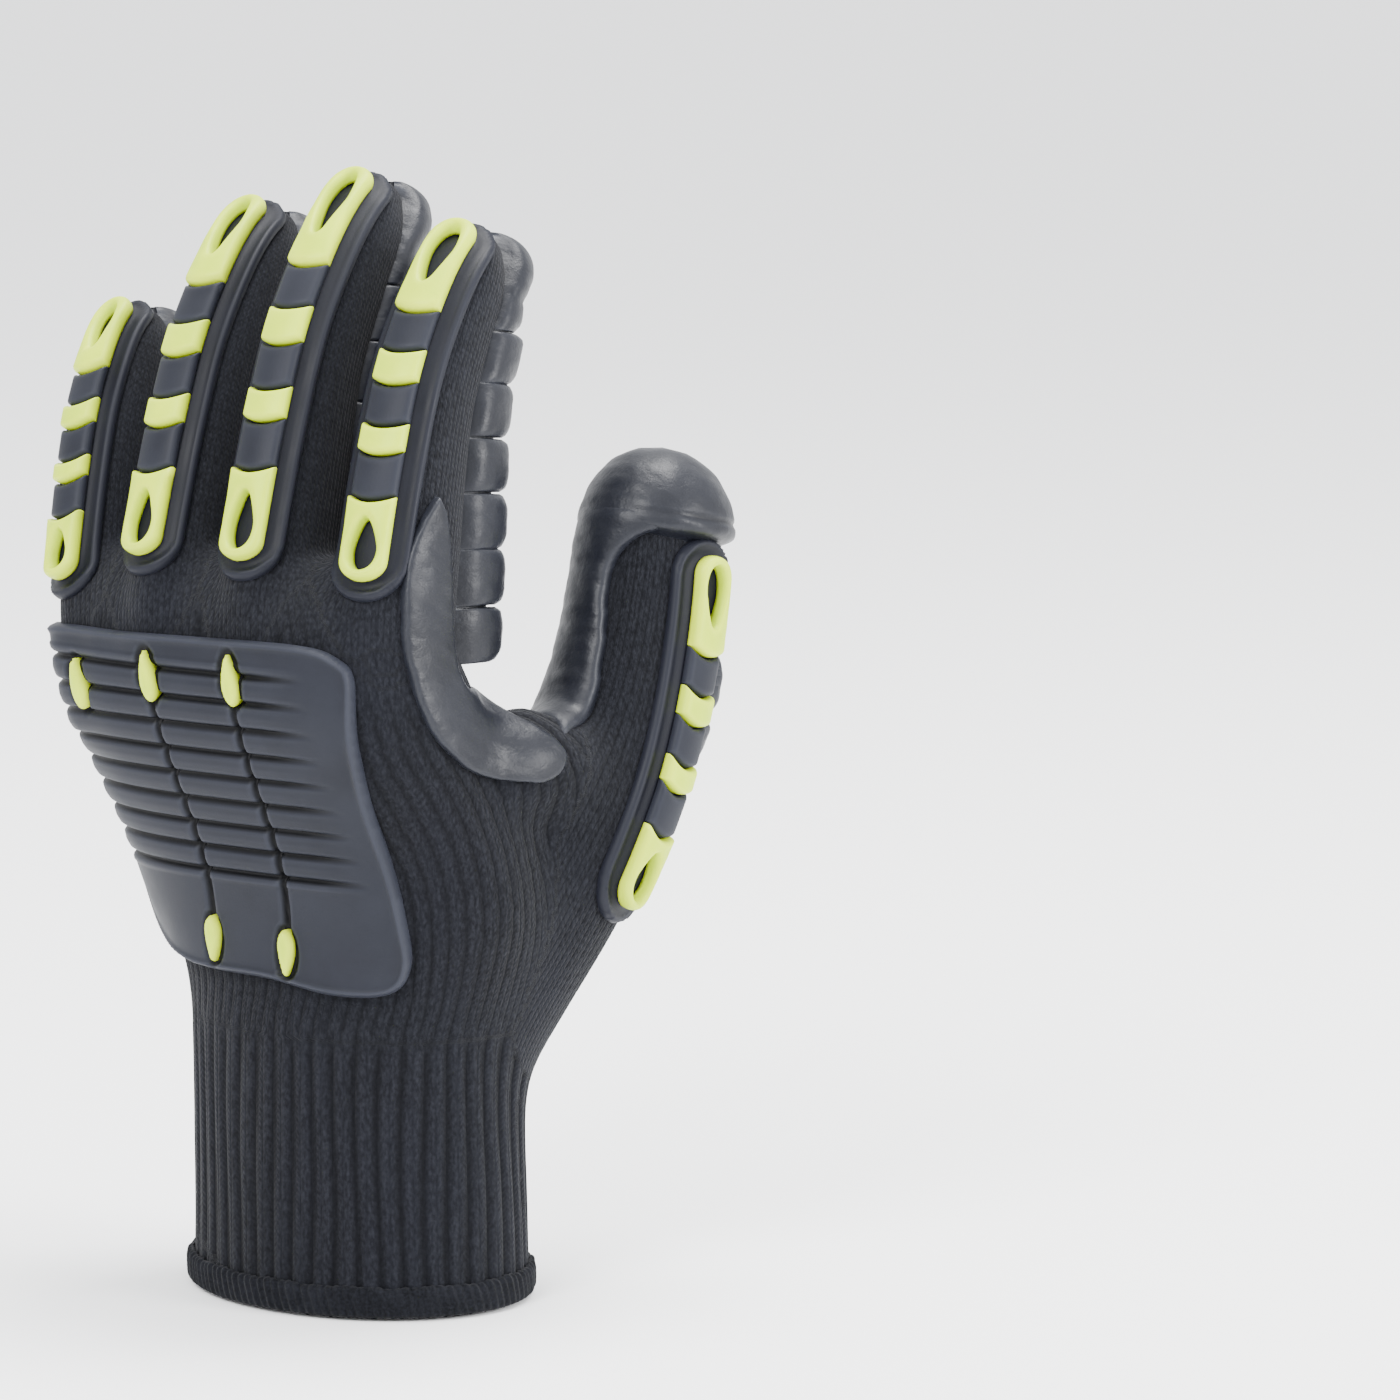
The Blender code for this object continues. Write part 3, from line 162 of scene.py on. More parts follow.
def smooth_curve(marks, values, at):
    """A smooth curve through the values at the marks; it runs on straight past its ends."""
    marks, values = np.asarray(marks, float), np.asarray(values, float)
    slope = np.empty_like(values)
    slope[1:-1] = (values[2:] - values[:-2]) / (marks[2:] - marks[:-2])[:, None]
    slope[0] = (values[1] - values[0]) / (marks[1] - marks[0])
    slope[-1] = (values[-1] - values[-2]) / (marks[-1] - marks[-2])
    at = np.asarray(at, float)
    inside = np.clip(at, marks[0], marks[-1])
    k = np.clip(np.searchsorted(marks, inside, side="right") - 1, 0, len(marks) - 2)
    span = (marks[k + 1] - marks[k])[:, None]
    t = (inside - marks[k])[:, None] / span
    curve = ((1 + 2 * t) * (1 - t) ** 2 * values[k] + t * (1 - t) ** 2 * span * slope[k]
             + t * t * (3 - 2 * t) * values[k + 1] + t * t * (t - 1) * span * slope[k + 1])
    end = np.where((at < marks[0])[:, None], slope[0], slope[-1])
    return curve + (at - inside)[:, None] * end


def unit(vectors):
    return vectors / np.maximum(np.linalg.norm(vectors, axis=-1, keepdims=True), 1e-9)


def ring_faces(rings, sides):
    """The faces between neighbouring rings of points, ring after ring."""
    return [(k * sides + i, k * sides + (i + 1) % sides, (k + 1) * sides + (i + 1) % sides,
             (k + 1) * sides + i) for k in range(rings - 1) for i in range(sides)]


class Sleeve:
    """A bent knitted tube. A place on it is its run along the tube and its distance
    across, round it from the middle of its back, counted up towards the thumb side."""

    STEP, TURNS, SHARES = 0.5, 96, 192
    PROBE, RING_PITCH, END_TURNS, CORE_STEP, END_FADE = 1.5, 1.5, (25, 50, 72), 8, 6.0

    def __init__(self, runs, tracks, below=2.0, beyond=8.0):
        self.runs = runs
        self.first = runs[0] - below
        at = np.arange(self.first, runs[-1] + beyond, self.STEP)
        v = smooth_curve(runs, tracks, at)
        self.centre, self.side, self.back = v[:, 0:3], unit(v[:, 3:6]), unit(v[:, 6:9])
        self.wide, self.deep, self.square = (np.maximum(v[:, 9], 1.0), np.maximum(v[:, 10], 1.0),
                                             v[:, 11])
        self.ahead = unit(np.gradient(self.centre, axis=0))
        turns = np.linspace(-math.pi, math.pi, self.TURNS + 1)
        s, c = np.sin(turns)[None], np.cos(turns)[None]
        power = 2.0 / self.square[:, None]
        x = self.wide[:, None] * np.sign(s) * np.abs(s) ** power
        y = self.deep[:, None] * np.sign(c) * np.abs(c) ** power
        ring = (self.centre[:, None] + self.side[:, None] * x[..., None]
                + self.back[:, None] * y[..., None])
        gone = np.concatenate([np.zeros((len(at), 1)),
                               np.cumsum(np.linalg.norm(np.diff(ring, axis=1), axis=2), 1)], 1)
        gone -= gone[:, self.TURNS // 2, None]
        self.half = gone[:, -1].copy()
        self.shares = gone / self.half[:, None]
        self.table = np.empty((len(at), self.SHARES + 1, 3))
        even = np.linspace(-1.0, 1.0, self.SHARES + 1)
        for m in range(len(at)):
            for k in range(3):
                self.table[m, :, k] = np.interp(even, self.shares[m], ring[m, :, k])

    def row(self, run):
        at = np.clip((np.asarray(run, float) - self.first) / self.STEP, 0.0,
                     len(self.half) - 1.001)
        return at.astype(int), at - at.astype(int)

    def half_girth(self, run):
        m, t = self.row(run)
        return self.half[m] * (1 - t) + self.half[m + 1] * t

    def point(self, run, across):
        m, t = self.row(run)
        u = (np.asarray(across, float) / self.half_girth(run) + 1.0) % 2.0 / 2.0 * self.SHARES
        j = np.minimum(u.astype(int), self.SHARES - 1)
        s, t = (u - j)[..., None], t[..., None]
        near = self.table[m, j] * (1 - s) + self.table[m, j + 1] * s
        far = self.table[m + 1, j] * (1 - s) + self.table[m + 1, j + 1] * s
        return near * (1 - t) + far * t

    def normal(self, run, across):
        along = self.point(run + self.PROBE, across) - self.point(run - self.PROBE, across)
        round_it = self.point(run, across + self.PROBE) - self.point(run, across - self.PROBE)
        return unit(-np.cross(along, round_it))

    def locate(self, points):
        """For points near the tube: run, share of the way round and nearness of its skin."""
        cores = self.centre[::self.CORE_STEP]
        best = np.full(len(points), 1e18)
        m = np.zeros(len(points), int)
        for i, core in enumerate(cores):
            gap = ((points - core) ** 2).sum(1)
            closer = gap < best
            best[closer], m[closer] = gap[closer], i * self.CORE_STEP
        off = ((points - self.centre[m]) * self.ahead[m]).sum(1)
        run = self.first + m * self.STEP + off
        m = np.clip(np.round((run - self.first) / self.STEP).astype(int), 0, len(self.half) - 1)
        local = points - self.centre[m]
        s = (local * self.side[m]).sum(1) / self.wide[m]
        c = (local * self.back[m]).sum(1) / self.deep[m]
        q = self.square[m]
        skin = (np.abs(s) ** q + np.abs(c) ** q) ** (1 / q)
        turn = np.arctan2(np.sign(s) * np.abs(s) ** (q / 2), np.sign(c) * np.abs(c) ** (q / 2))
        j = np.clip(((turn + math.pi) / (2 * math.pi) * self.TURNS).astype(int), 0, self.TURNS - 1)
        t = (turn + math.pi) / (2 * math.pi) * self.TURNS - j
        share = self.shares[m, j] * (1 - t) + self.shares[m, j + 1] * t
        over = np.maximum(0.0, run - self.runs[-1]) / self.END_FADE
        return run, share, np.abs(skin - 1.0) + over

    def mesh(self, start, sides=72, dome=2.0):
        """Points and faces of the closed tube from one run to its end."""
        runs = np.arange(start, self.runs[-1], self.RING_PITCH)
        rings = []
        for run in list(runs) + [self.runs[-1]]:
            half = self.half_girth(run)
            rings.append(self.point(np.full(sides, run),
                                    np.linspace(-half, half, sides, endpoint=False)))
        m, _ = self.row(self.runs[-1])
        middle, ahead = self.centre[m], self.ahead[m]
        last = rings[-1]
        for turn in self.END_TURNS:
            c, s = math.cos(math.radians(turn)), math.sin(math.radians(turn))
            rings.append(middle + (last - middle) * c + ahead * dome * s)
        points = list(np.concatenate(rings))
        faces = ring_faces(len(rings), sides)
        foot, tip = len(points), len(points) + 1
        points += [rings[0].mean(0), middle + ahead * dome]
        base = (len(rings) - 1) * sides
        for i in range(sides):
            j = (i + 1) % sides
            faces.append((j, i, foot))
            faces.append((base + i, base + j, tip))
        return np.array(points), faces


def hand_tube():
    runs, tracks = [], []
    for up, breadth, depth, drift, lean, square in HAND_SECTIONS:
        cuff = up <= 1.0
        height = up * CUFF_HEIGHT if cuff else CUFF_HEIGHT + (up - 1.0) * PALM_HEIGHT
        runs.append(height)
        tracks.append((-drift * HAND_DRIFT, -lean * HAND_LEAN, height, 1, 0, 0, 0, -1, 0,
                       breadth * (CUFF_BREADTH if cuff else PALM_BREADTH) / 2,
                       depth * (CUFF_DEPTH if cuff else PALM_DEPTH) / 2, square))
    return Sleeve(runs, tracks, below=6.0)


def finger_line(name, run):
    """Centre and direction of a finger at a distance from its knuckle."""
    knuckle, (length, _, _), (splay, lean_base, lean_tip), _, _ = FINGERS[name]

    def heading(at):
        if at < 0:
            share = min(-at / FINGER_ROOT, 1.0)
            lean = lean_base + (FINGER_ROOT_LEAN - lean_base) * share
            turn = math.radians(splay) * (1.0 - share)
        else:
            lean = lean_base + (lean_tip - lean_base) * min(at / length, 1.2) ** LEAN_GROWTH
            turn = math.radians(splay)
        lean = math.radians(lean)
        return np.array((-math.sin(turn), math.sin(lean) * math.cos(turn),
                         math.cos(lean) * math.cos(turn)))

    centre = np.array((knuckle[0] * PALM_BREADTH / 2, knuckle[1] * PALM_DEPTH,
                       knuckle[2] * HAND_HEIGHT))
    for i in range(LINE_STEPS):
        centre = centre + heading(run * (i + 0.5) / LINE_STEPS) * (run / LINE_STEPS)
    return centre, heading(run)


def finger_tube(name):
    _, (length, width, depth), _, _, _ = FINGERS[name]
    runs, tracks = [], []
    for along, wide, deep, swell in FINGER_SECTIONS:
        centre, ahead = finger_line(name, along * length)
        side = unit(np.array((1.0, 0, 0)) - ahead * ahead[0])
        back = -unit(np.cross(ahead, side))
        swell *= depth
        runs.append(along * length)
        tracks.append((*(centre - back * swell / 2), *side, *back, wide * width / 2,
                       (deep * depth + swell) / 2, FINGER_SQUARE))
    return Sleeve(runs, tracks)


def thumb_tube():
    face = math.radians(THUMB_FACE)
    centres = np.array([(out * THUMB_OUT, forward * THUMB_FORWARD, up * THUMB_RISE)
                        for up, out, forward, _, _ in THUMB_SECTIONS])
    run, runs, tracks = 0.0, [], []
    for i, (_, _, _, wide, deep) in enumerate(THUMB_SECTIONS):
        ahead = unit(centres[min(i + 1, len(centres) - 1)] - centres[max(i - 1, 0)])
        out = np.array((math.sin(face), -math.cos(face), 0.0))
        back = unit(out - ahead * out.dot(ahead))
        side = unit(np.cross(ahead, back))
        if i:
            run += np.linalg.norm(centres[i] - centres[i - 1])
        runs.append(run)
        tracks.append((*centres[i], *side, *back, wide * THUMB_WIDTH / 2, deep * THUMB_DEPTH / 2,
                       THUMB_SQUARE))
    return Sleeve(runs, tracks)


def make_piece(name, points, faces, finish):
    """A mesh object from points in millimetres."""
    mesh = bpy.data.meshes.new(name)
    mesh.from_pydata((np.asarray(points) * MM).tolist(), [], faces)
    mesh.polygons.foreach_set("use_smooth", [True] * len(mesh.polygons))
    bm = bmesh.new()
    bm.from_mesh(mesh)
    bmesh.ops.recalc_face_normals(bm, faces=bm.faces[:])
    bm.to_mesh(mesh)
    bm.free()
    mesh.materials.append(finish)
    piece = bpy.data.objects.new(name, mesh)
    bpy.context.scene.collection.objects.link(piece)
    return piece


class Finish:
    """A material built up from nodes on one Principled shader."""

    def __init__(self, name, roughness, **sockets):
        self.material = bpy.data.materials.new(name)
        self.material.use_nodes = True
        self.tree = self.material.node_tree
        self.shader = self.tree.nodes["Principled BSDF"]
        self.shader.inputs["Roughness"].default_value = roughness
        for socket, value in sockets.items():
            self.shader.inputs[socket.replace("_", " ")].default_value = value

    def node(self, kind, **settings):
        made = self.tree.nodes.new("ShaderNode" + kind)
        for key, value in settings.items():
            setattr(made, key, value)
        return made

    def feed(self, source, socket):
        if hasattr(source, "is_output"):
            self.tree.links.new(source, socket)
        else:
            socket.default_value = source

    def math(self, operation, a, b=0.0):
        made = self.node("Math", operation=operation)
        self.feed(a, made.inputs[0])
        self.feed(b, made.inputs[1])
        return made.outputs[0]

    def noise(self, scale, stretch=(1.0, 1.0, 1.0), detail=3.0):
        place = self.node("TexCoord").outputs["Object"]
        mapping = self.node("Mapping")
        mapping.inputs["Scale"].default_value = stretch
        self.feed(place, mapping.inputs["Vector"])
        made = self.node("TexNoise")
        made.inputs["Scale"].default_value = scale
        made.inputs["Detail"].default_value = detail
        self.feed(mapping.outputs[0], made.inputs["Vector"])
        return made.outputs["Fac"]

    def spread(self, source, low, high, to_low=0.0, to_high=1.0):
        made = self.node("MapRange")
        self.feed(source, made.inputs["Value"])
        for socket, value in (("From Min", low), ("From Max", high), ("To Min", to_low),
                              ("To Max", to_high)):
            made.inputs[socket].default_value = value
        return made.outputs[0]

    def blend(self, share, low, high):
        """Between two colours, or between two earlier blends."""
        made = self.node("Mix", data_type="RGBA")
        self.feed(share, made.inputs[0])
        for value, socket in ((low, made.inputs[6]), (high, made.inputs[7])):
            self.feed(value if hasattr(value, "is_output") else (*value, 1.0), socket)
        return made.outputs[2]

    def bump(self, height, strength, depth, over=None):
        made = self.node("Bump")
        made.inputs["Strength"].default_value = strength
        made.inputs["Distance"].default_value = depth
        self.feed(height, made.inputs["Height"])
        if over is not None:
            self.feed(over, made.inputs["Normal"])
        return made.outputs[0]

    def done(self, colour, normal=None, roughness=None):
        self.feed(colour, self.shader.inputs["Base Color"])
        if normal is not None:
            self.feed(normal, self.shader.inputs["Normal"])
        if roughness is not None:
            self.feed(roughness, self.shader.inputs["Roughness"])
        return self.material


def knitted_yarn():
    """Charcoal yarn: rows of small slanting stitches, with painted shade between the stitches and in
    the valleys between the ribs.
    """
    f = Finish("charcoal_knit", 0.92, Sheen_Weight=0.04, Sheen_Roughness=0.5,
               Specular_IOR_Level=0.10)
    place = f.node("Attribute", attribute_name="stitch_place").outputs["Vector"]
    parts = f.node("SeparateXYZ")
    f.feed(place, parts.inputs[0])
    count = f.node("Attribute", attribute_name="stitches_round").outputs["Fac"]
    valley_shade = f.node("Attribute", attribute_name="valley_shade").outputs["Fac"]
    turn = f.math("DIVIDE", f.math("ARCTAN2", parts.outputs[0], parts.outputs[1]), 2 * math.pi)
    wale = f.math("FRACT", f.math("MULTIPLY", turn, f.math("MULTIPLY", count, 2.0)))
    off = f.math("MULTIPLY", f.math("ABSOLUTE", f.math("SUBTRACT", wale, 0.5)), 2.0)
    course = f.math("ADD", f.math("DIVIDE", parts.outputs[2], STITCH_PITCH),
                    f.math("MULTIPLY", off, STITCH_SLANT))
    wave = f.math("ADD", f.math("MULTIPLY", f.math("SINE", f.math("MULTIPLY", course, 2 * math.pi)),
                                0.5), 0.5)
    ridge = f.math("SUBTRACT", 1.0, f.math("POWER", off, 3.0))
    stitch = f.math("MULTIPLY", ridge, f.math("ADD", f.math("MULTIPLY", wave, 0.45), 0.55))
    fuzz = f.noise(1500.0, (1.0, 1.0, 0.45), 4.0)
    cloudy = f.noise(45.0, (1.0, 1.0, 0.35), 3.0)
    yarn = f.blend(f.spread(fuzz, 0.35, 0.68), YARN_DARK, YARN_LIGHT)
    # Painted shade: the yarn is darkened between the stitches.
    yarn = f.blend(f.spread(stitch, 0.1, 0.8, 0.45, 0.0), yarn, YARN_STITCH_SHADE)
    yarn = f.blend(f.spread(cloudy, 0.35, 0.7, 0.0, 0.30), yarn, YARN_CLOUDED)
    # Painted shade: the yarn is darkened in the rib valleys.
    yarn = f.blend(f.spread(valley_shade, 0.0, 1.0, 0.0, 0.72), yarn, YARN_VALLEY_SHADE)
    low = f.bump(stitch, 0.55, 0.00035)
    return f.done(yarn, f.bump(fuzz, 0.35, 0.0003, low))


def web_tube():
    """The fold of knit between the index finger's root and the thumb."""
    centres = np.array(WEB_LINE)
    runs = np.concatenate([[0.0], np.cumsum(np.linalg.norm(np.diff(centres, axis=0), axis=1))])
    tracks = []
    for i, centre in enumerate(centres):
        ahead = unit(centres[min(i + 1, len(centres) - 1)] - centres[max(i - 1, 0)])
        side = unit(np.cross(ahead, (0.0, 0.0, 1.0)))
        tracks.append((*centre, *side, *np.cross(side, ahead), WEB_HALF_WIDTH, WEB_HALF_HEIGHT,
                       WEB_SQUARE))
    return Sleeve(runs, tracks)


hand, thumb = hand_tube(), thumb_tube()
fingers = {name: finger_tube(name) for name in FINGERS}
tubes = [hand] + list(fingers.values()) + [thumb]

raw_points, raw_faces, count = [], [], 0
tube_trees = {}
for tube in tubes + [web_tube()]:
    points, faces = tube.mesh(-4.0 if tube is hand else tube.runs[0])
    if tube is hand or tube is thumb:
        label = "hand" if tube is hand else "thumb"
        tube_trees[label] = BVHTree.FromPolygons(points.tolist(), faces)
    raw_points.append(points)
    raw_faces += [tuple(i + count for i in face) for face in faces]
    count += len(points)
raw_mesh = bpy.data.meshes.new("raw_sleeve")
raw_mesh.from_pydata(np.concatenate(raw_points).tolist(), [], raw_faces)
raw = bpy.data.objects.new("raw_sleeve", raw_mesh)
bpy.context.scene.collection.objects.link(raw)
weld = raw.modifiers.new("weld", "REMESH")
weld.mode, weld.voxel_size = "VOXEL", SKIN_CELL
graph = bpy.context.evaluated_depsgraph_get()
welded = bpy.data.meshes.new_from_object(raw.evaluated_get(graph))
bpy.data.objects.remove(raw)

skin_points = np.empty(len(welded.vertices) * 3)
welded.vertices.foreach_get("co", skin_points)
skin_points = skin_points.reshape(-1, 3)
skin_faces = [tuple(p.vertices) for p in welded.polygons]
pairs = np.array([tuple(e.vertices) for e in welded.edges])
ends = np.concatenate([pairs[:, 0], pairs[:, 1]])
others = np.concatenate([pairs[:, 1], pairs[:, 0]])
links = np.bincount(ends, minlength=len(skin_points))[:, None]


def relax(points, times, weight=1.0):
    """Each point moves towards the mean of its neighbours, as taut knit does."""
    for _ in range(times):
        mean = np.stack([np.bincount(ends, points[others, k], len(points)) for k in range(3)],
                        1) / links
        points = points + (mean - points) * 0.5 * weight
    return points


def gaps_to_tubes(points):
    """Nearness of each tube's skin, and the place on each tube, for all the points."""
    found = [tube.locate(points) for tube in tubes]
    gaps = np.stack([gap for _, _, gap in found])
    gaps[0] += np.maximum(0.0, points[:, 2] - FINGERS_FROM) * 0.02
    return (gaps, np.stack([run for run, _, _ in found]),
            np.stack([share for _, share, _ in found]))


skin_points = relax(skin_points, EASED_ALL)
gaps, _, _ = gaps_to_tubes(skin_points)
ordered = np.sort(gaps, axis=0)
joint = np.exp(-((ordered[1] - ordered[0]) / JOINT_REACH) ** 2)
at_thumb = (np.exp(-((gaps[0] - gaps[5]) / THUMB_JOINT_REACH) ** 2)
            * (skin_points[:, 2] < FINGERS_FROM))
at_thumb = np.maximum(at_thumb, np.clip((np.minimum(gaps[0], gaps[5]) - 0.06) / 0.1, 0, 1)
                      * (skin_points[:, 2] < THUMB_JOINT_TOP))
skin_points = relax(skin_points, EASED_JOINTS, joint[:, None])
skin_points = relax(skin_points, EASED_THUMB, at_thumb[:, None])
skin_points = relax(skin_points, EASED_LAST)
skin = BVHTree.FromPolygons(skin_points.tolist(), skin_faces)
welded.vertices.foreach_set("co", skin_points.ravel())
welded.update()
outward = np.empty(len(skin_points) * 3, np.float32)
welded.vertex_normals.foreach_get("vector", outward)
outward = outward.reshape(-1, 3).astype(float)

kinds = ["hand"] + ["finger"] * 4 + ["thumb"]
gaps, runs_at, shares_at = gaps_to_tubes(skin_points)
kind_of, every = gaps.argmin(0), np.arange(len(skin_points))
run, share = runs_at[kind_of, every], shares_at[kind_of, every]
place_of = np.stack([np.sin(share * math.pi), np.cos(share * math.pi), run], 1)
stitches = np.array([STITCHES_ROUND[kind] for kind in kinds])[kind_of].astype(float)
ordered = np.sort(gaps, axis=0)
clear = np.clip((ordered[1] - ordered[0]) / RIB_CLEAR, 0.0, 1.0)
height = skin_points[:, 2]
on_cuff = np.clip((CUFF_RIB_TOP - height) / CUFF_RIB_FADE, 0.0, 1.0) * (kind_of == 0)
around = np.arctan2(place_of[:, 0], place_of[:, 1]) / (2 * math.pi)
wander = 0.10 * np.sin(height / 11.0 + around * 37.0) * (height > 4.0)
cuff_rib = np.abs(np.cos(math.pi * (around * STITCHES_ROUND["cuff"] + wander))) ** 5
hand_rib = np.abs(np.cos(math.pi * (around * STITCHES_ROUND["hand"]))) ** 3
thumb_rib = np.abs(np.cos(math.pi * (around * STITCHES_ROUND["thumb"]))) ** 3
on_hand = ((1.0 - on_cuff) * clear * np.isin(kind_of, (0, 5))
           * np.clip((HAND_RIB_TOP - height) / HAND_RIB_FADE, 0.35, 1.0))
fine_rib = np.where(kind_of == 5, thumb_rib, hand_rib)
# This mask only darkens the yarn's colour: painted shade in the rib valleys.
valley_shade = on_cuff * cuff_rib + HAND_RIB_SHADE * on_hand * fine_rib
drawn_in = CUFF_RIB_DEPTH * on_cuff * cuff_rib + HAND_RIB_DEPTH * on_hand * fine_rib
knit_points = skin_points - outward * drawn_in[:, None]
stitches[on_cuff > 0.5] = STITCHES_ROUND["cuff"]

sleeve = make_piece("knitted_sleeve", knit_points, skin_faces, knitted_yarn())
mesh = sleeve.data
for label, kind, values in (("stitch_place", "FLOAT_VECTOR", place_of),
                            ("stitches_round", "FLOAT", stitches), ("valley_shade", "FLOAT", valley_shade)):
    layer = mesh.attributes.new(label, kind, "POINT")
    layer.data.foreach_set("vector" if kind == "FLOAT_VECTOR" else "value",
                           np.asarray(values, np.float32).ravel())
bm = bmesh.new()
bm.from_mesh(mesh)
bmesh.ops.bisect_plane(bm, geom=bm.verts[:] + bm.edges[:] + bm.faces[:], dist=1e-6,
                       plane_co=(0, 0, CUFF_CUT), plane_no=(0, 0, 1), clear_inner=True)
bm.to_mesh(mesh)
bm.free()
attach(sleeve, "root")
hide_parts("liner")

# The inside of the sleeve, which shows through the wrist opening: the back of the
# same knit, one yarn's thickness in, up to where the fingers start.
INSIDE_LOW, INSIDE_TOP, INSIDE_PITCH, INSIDE_SIDES, INSIDE_RIB = 0.4, 150.0, 2.0, 132, 0.5
runs = np.arange(INSIDE_LOW, INSIDE_TOP, INSIDE_PITCH)
sides = INSIDE_SIDES
rings = []
for run in runs:
    half = hand.half_girth(run)
    across = np.linspace(-half, half, sides, endpoint=False)
    at = np.full(sides, run)
    rib = np.abs(np.sin(math.pi * across / half / 2 * STITCHES_ROUND["cuff"])) ** 3
    rings.append(hand.point(at, across) - hand.normal(at, across)
                 * (LINER_WALL + INSIDE_RIB * rib * (run < CUFF_HEIGHT))[:, None])
points = np.concatenate(rings + [rings[-1].mean(0)[None]])
faces = ring_faces(len(runs), sides)
faces += [((len(runs) - 1) * sides + i, (len(runs) - 1) * sides + (i + 1) % sides,
           len(points) - 1) for i in range(sides)]


def inner_yarn():
    """The back of the knit: flatter and darker, with the same fuzz."""
    f = Finish("charcoal_knit_inside", 0.95, Specular_IOR_Level=0.2)
    fuzz = f.noise(1300.0, (1.0, 1.0, 0.5), 4.0)
    yarn = f.blend(f.spread(fuzz, 0.35, 0.7), (0.004, 0.0045, 0.007), (0.014, 0.015, 0.020))
    return f.done(yarn, f.bump(fuzz, 0.5, 0.0004))


inside = make_piece("sleeve_inside", points, faces, inner_yarn())
inside.data.flip_normals()
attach(inside, "root")
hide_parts("liner")

# The hem is an overlocked edge: thick dark thread thrown in close slanting loops
# round the cut end of the cuff, outside, underneath and inside.
HEM_LOOPS, POINTS_A_LOOP, HEM_RINGS, HEM_FOOT = 118, 6, 25, 2.0
THREAD_THICK, THREAD_UNEVEN, LOOP_SLANT = 0.22, 0.10, 0.14
HEM_PROFILE = ((-1.9, 5.4), (-2.0, 2.6), (-1.9, 0.4), (-1.2, -0.6), (-0.3, -0.8), (0.5, -0.5),
               (0.95, 0.6), (1.05, 3.0), (0.95, 5.0), (0.45, 5.9), (-0.4, 6.2))


def overlock_thread():
    """Dark fuzzy thread, a little paler where it is worn."""
    f = Finish("overlock_thread", 0.9, Sheen_Weight=0.04, Specular_IOR_Level=0.10)
    fuzz = f.noise(1700.0, (1.0, 1.0, 1.0), 4.0)
    worn = f.noise(160.0, (1.0, 1.0, 1.0), 3.0)
    thread = f.blend(f.spread(fuzz, 0.35, 0.7), (0.0014, 0.0016, 0.0026), (0.0065, 0.0071, 0.0100))
    thread = f.blend(f.spread(worn, 0.45, 0.75, 0.0, 0.35), thread, (0.011, 0.0118, 0.0160))
    return f.done(thread, f.bump(fuzz, 0.5, 0.0004))


sides = HEM_LOOPS * POINTS_A_LOOP
profile = smooth_curve(range(len(HEM_PROFILE)), HEM_PROFILE,
                       np.linspace(0, len(HEM_PROFILE) - 1, HEM_RINGS))
half = hand.half_girth(HEM_FOOT)
across = np.linspace(-half, half, sides, endpoint=False)
at = np.full(sides, HEM_FOOT)
foot, out = hand.point(at, across), hand.normal(at, across)
foot[:, 2] = 0.0
out[:, 2] = 0.0
out = unit(out)
rings = []
for lift, up in profile:
    slant = math.pi * 2 * (np.arange(sides) / POINTS_A_LOOP + up * LOOP_SLANT)
    thread = THREAD_THICK * np.sin(slant) + THREAD_UNEVEN * np.sin(slant * 0.37 + 1.3)
    wavy = 0.18 * np.sin(np.arange(sides) * 0.11) + 0.12 * np.sin(np.arange(sides) * 0.31 + up)
    rings.append(foot + out * (lift + (thread if lift > -0.5 else 0.3 * thread)
                               * np.sign(lift + 0.01))[:, None]
                 + np.array((0, 0, 1.0)) * (up + 0.25 * thread + (wavy if up > 4 else 0))[:, None])
points = np.concatenate(rings)
faces = ring_faces(len(rings), sides)
hem = make_piece("overlocked_hem", points, faces, overlock_thread())
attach(hem, "root")
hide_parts("cuff_hem")


# The guards: on each finger and on the thumb a flexible black rubber strip is moulded
# with a thin flange, a raised line near its edge and crowned grey segments, and sewn
# down through the flange. It bends with the finger between the yellow inserts.
FLANGE_WIDTH, FLANGE_THICKNESS, FLANGE_MARGIN = 18.5, 1.5, 4.0
STRIP_WIDTH, STRIP_RISE, SEGMENT_RISE = 9.2, 3.2, 2.4
CHEVRON_DIP, LOOP_SEAT, LOOP_WALL = 1.6, 1.1, 2.4
INSERT_SINK, INSERT_EDGE, INSERT_ROUND, INSERT_CROWN = 0.6, 0.7, 1.15, 0.22
BEAD_HEIGHT, BEAD_PLACE, BEAD_WIDTH = 0.55, 1.1, 0.50
HOLLOW_DEPTH, HOLLOW_PLACE, HOLLOW_WIDTH = 0.35, 3.0, 0.9
FLANGE_EDGE, FLANGE_ROOT, FLANGE_CELL, GUARD_REACH = 0.5, -1.6, 0.75, 7.0
HOLE_LOW, HOLE_HIGH = 0.30, 0.72       # inner ends of the loops' holes, as shares
THUMB_GUARD_BREADTH, PIECE_GAP = 1.05, 0.35
BLACK_DARK, BLACK_LIGHT = (0.0022, 0.0026, 0.0050), (0.0040, 0.0046, 0.0080)
GREY_DARK, GREY_LIGHT = (0.0070, 0.0079, 0.0122), (0.0115, 0.0128, 0.0185)
# Painted shade for the plate's grooves and the pockets round its drops.
GROOVE_SHADE = (0.0007, 0.0008, 0.0013)
# The third yellow is a painted highlight for the pieces' sharp edges.
YELLOW_DEEP, YELLOW_BRIGHT, YELLOW_EDGE_HIGHLIGHT = ((0.38, 0.52, 0.002), (0.47, 0.61, 0.004),
                                           (0.62, 0.70, 0.05))
GUARD_LOW, GUARD_HIGH = 0.135, 0.96
THUMB_GUARD_LOW, THUMB_GUARD_HIGH, THUMB_GUARD_TURN = 0.326, 0.721, (22.0, 9.0)
GUARD_PIECES = (("base_loop", 0.135, 0.320), ("low_chevron", 0.405, 0.480),
                ("high_chevron", 0.560, 0.645), ("tip_loop", 0.725, 0.970))


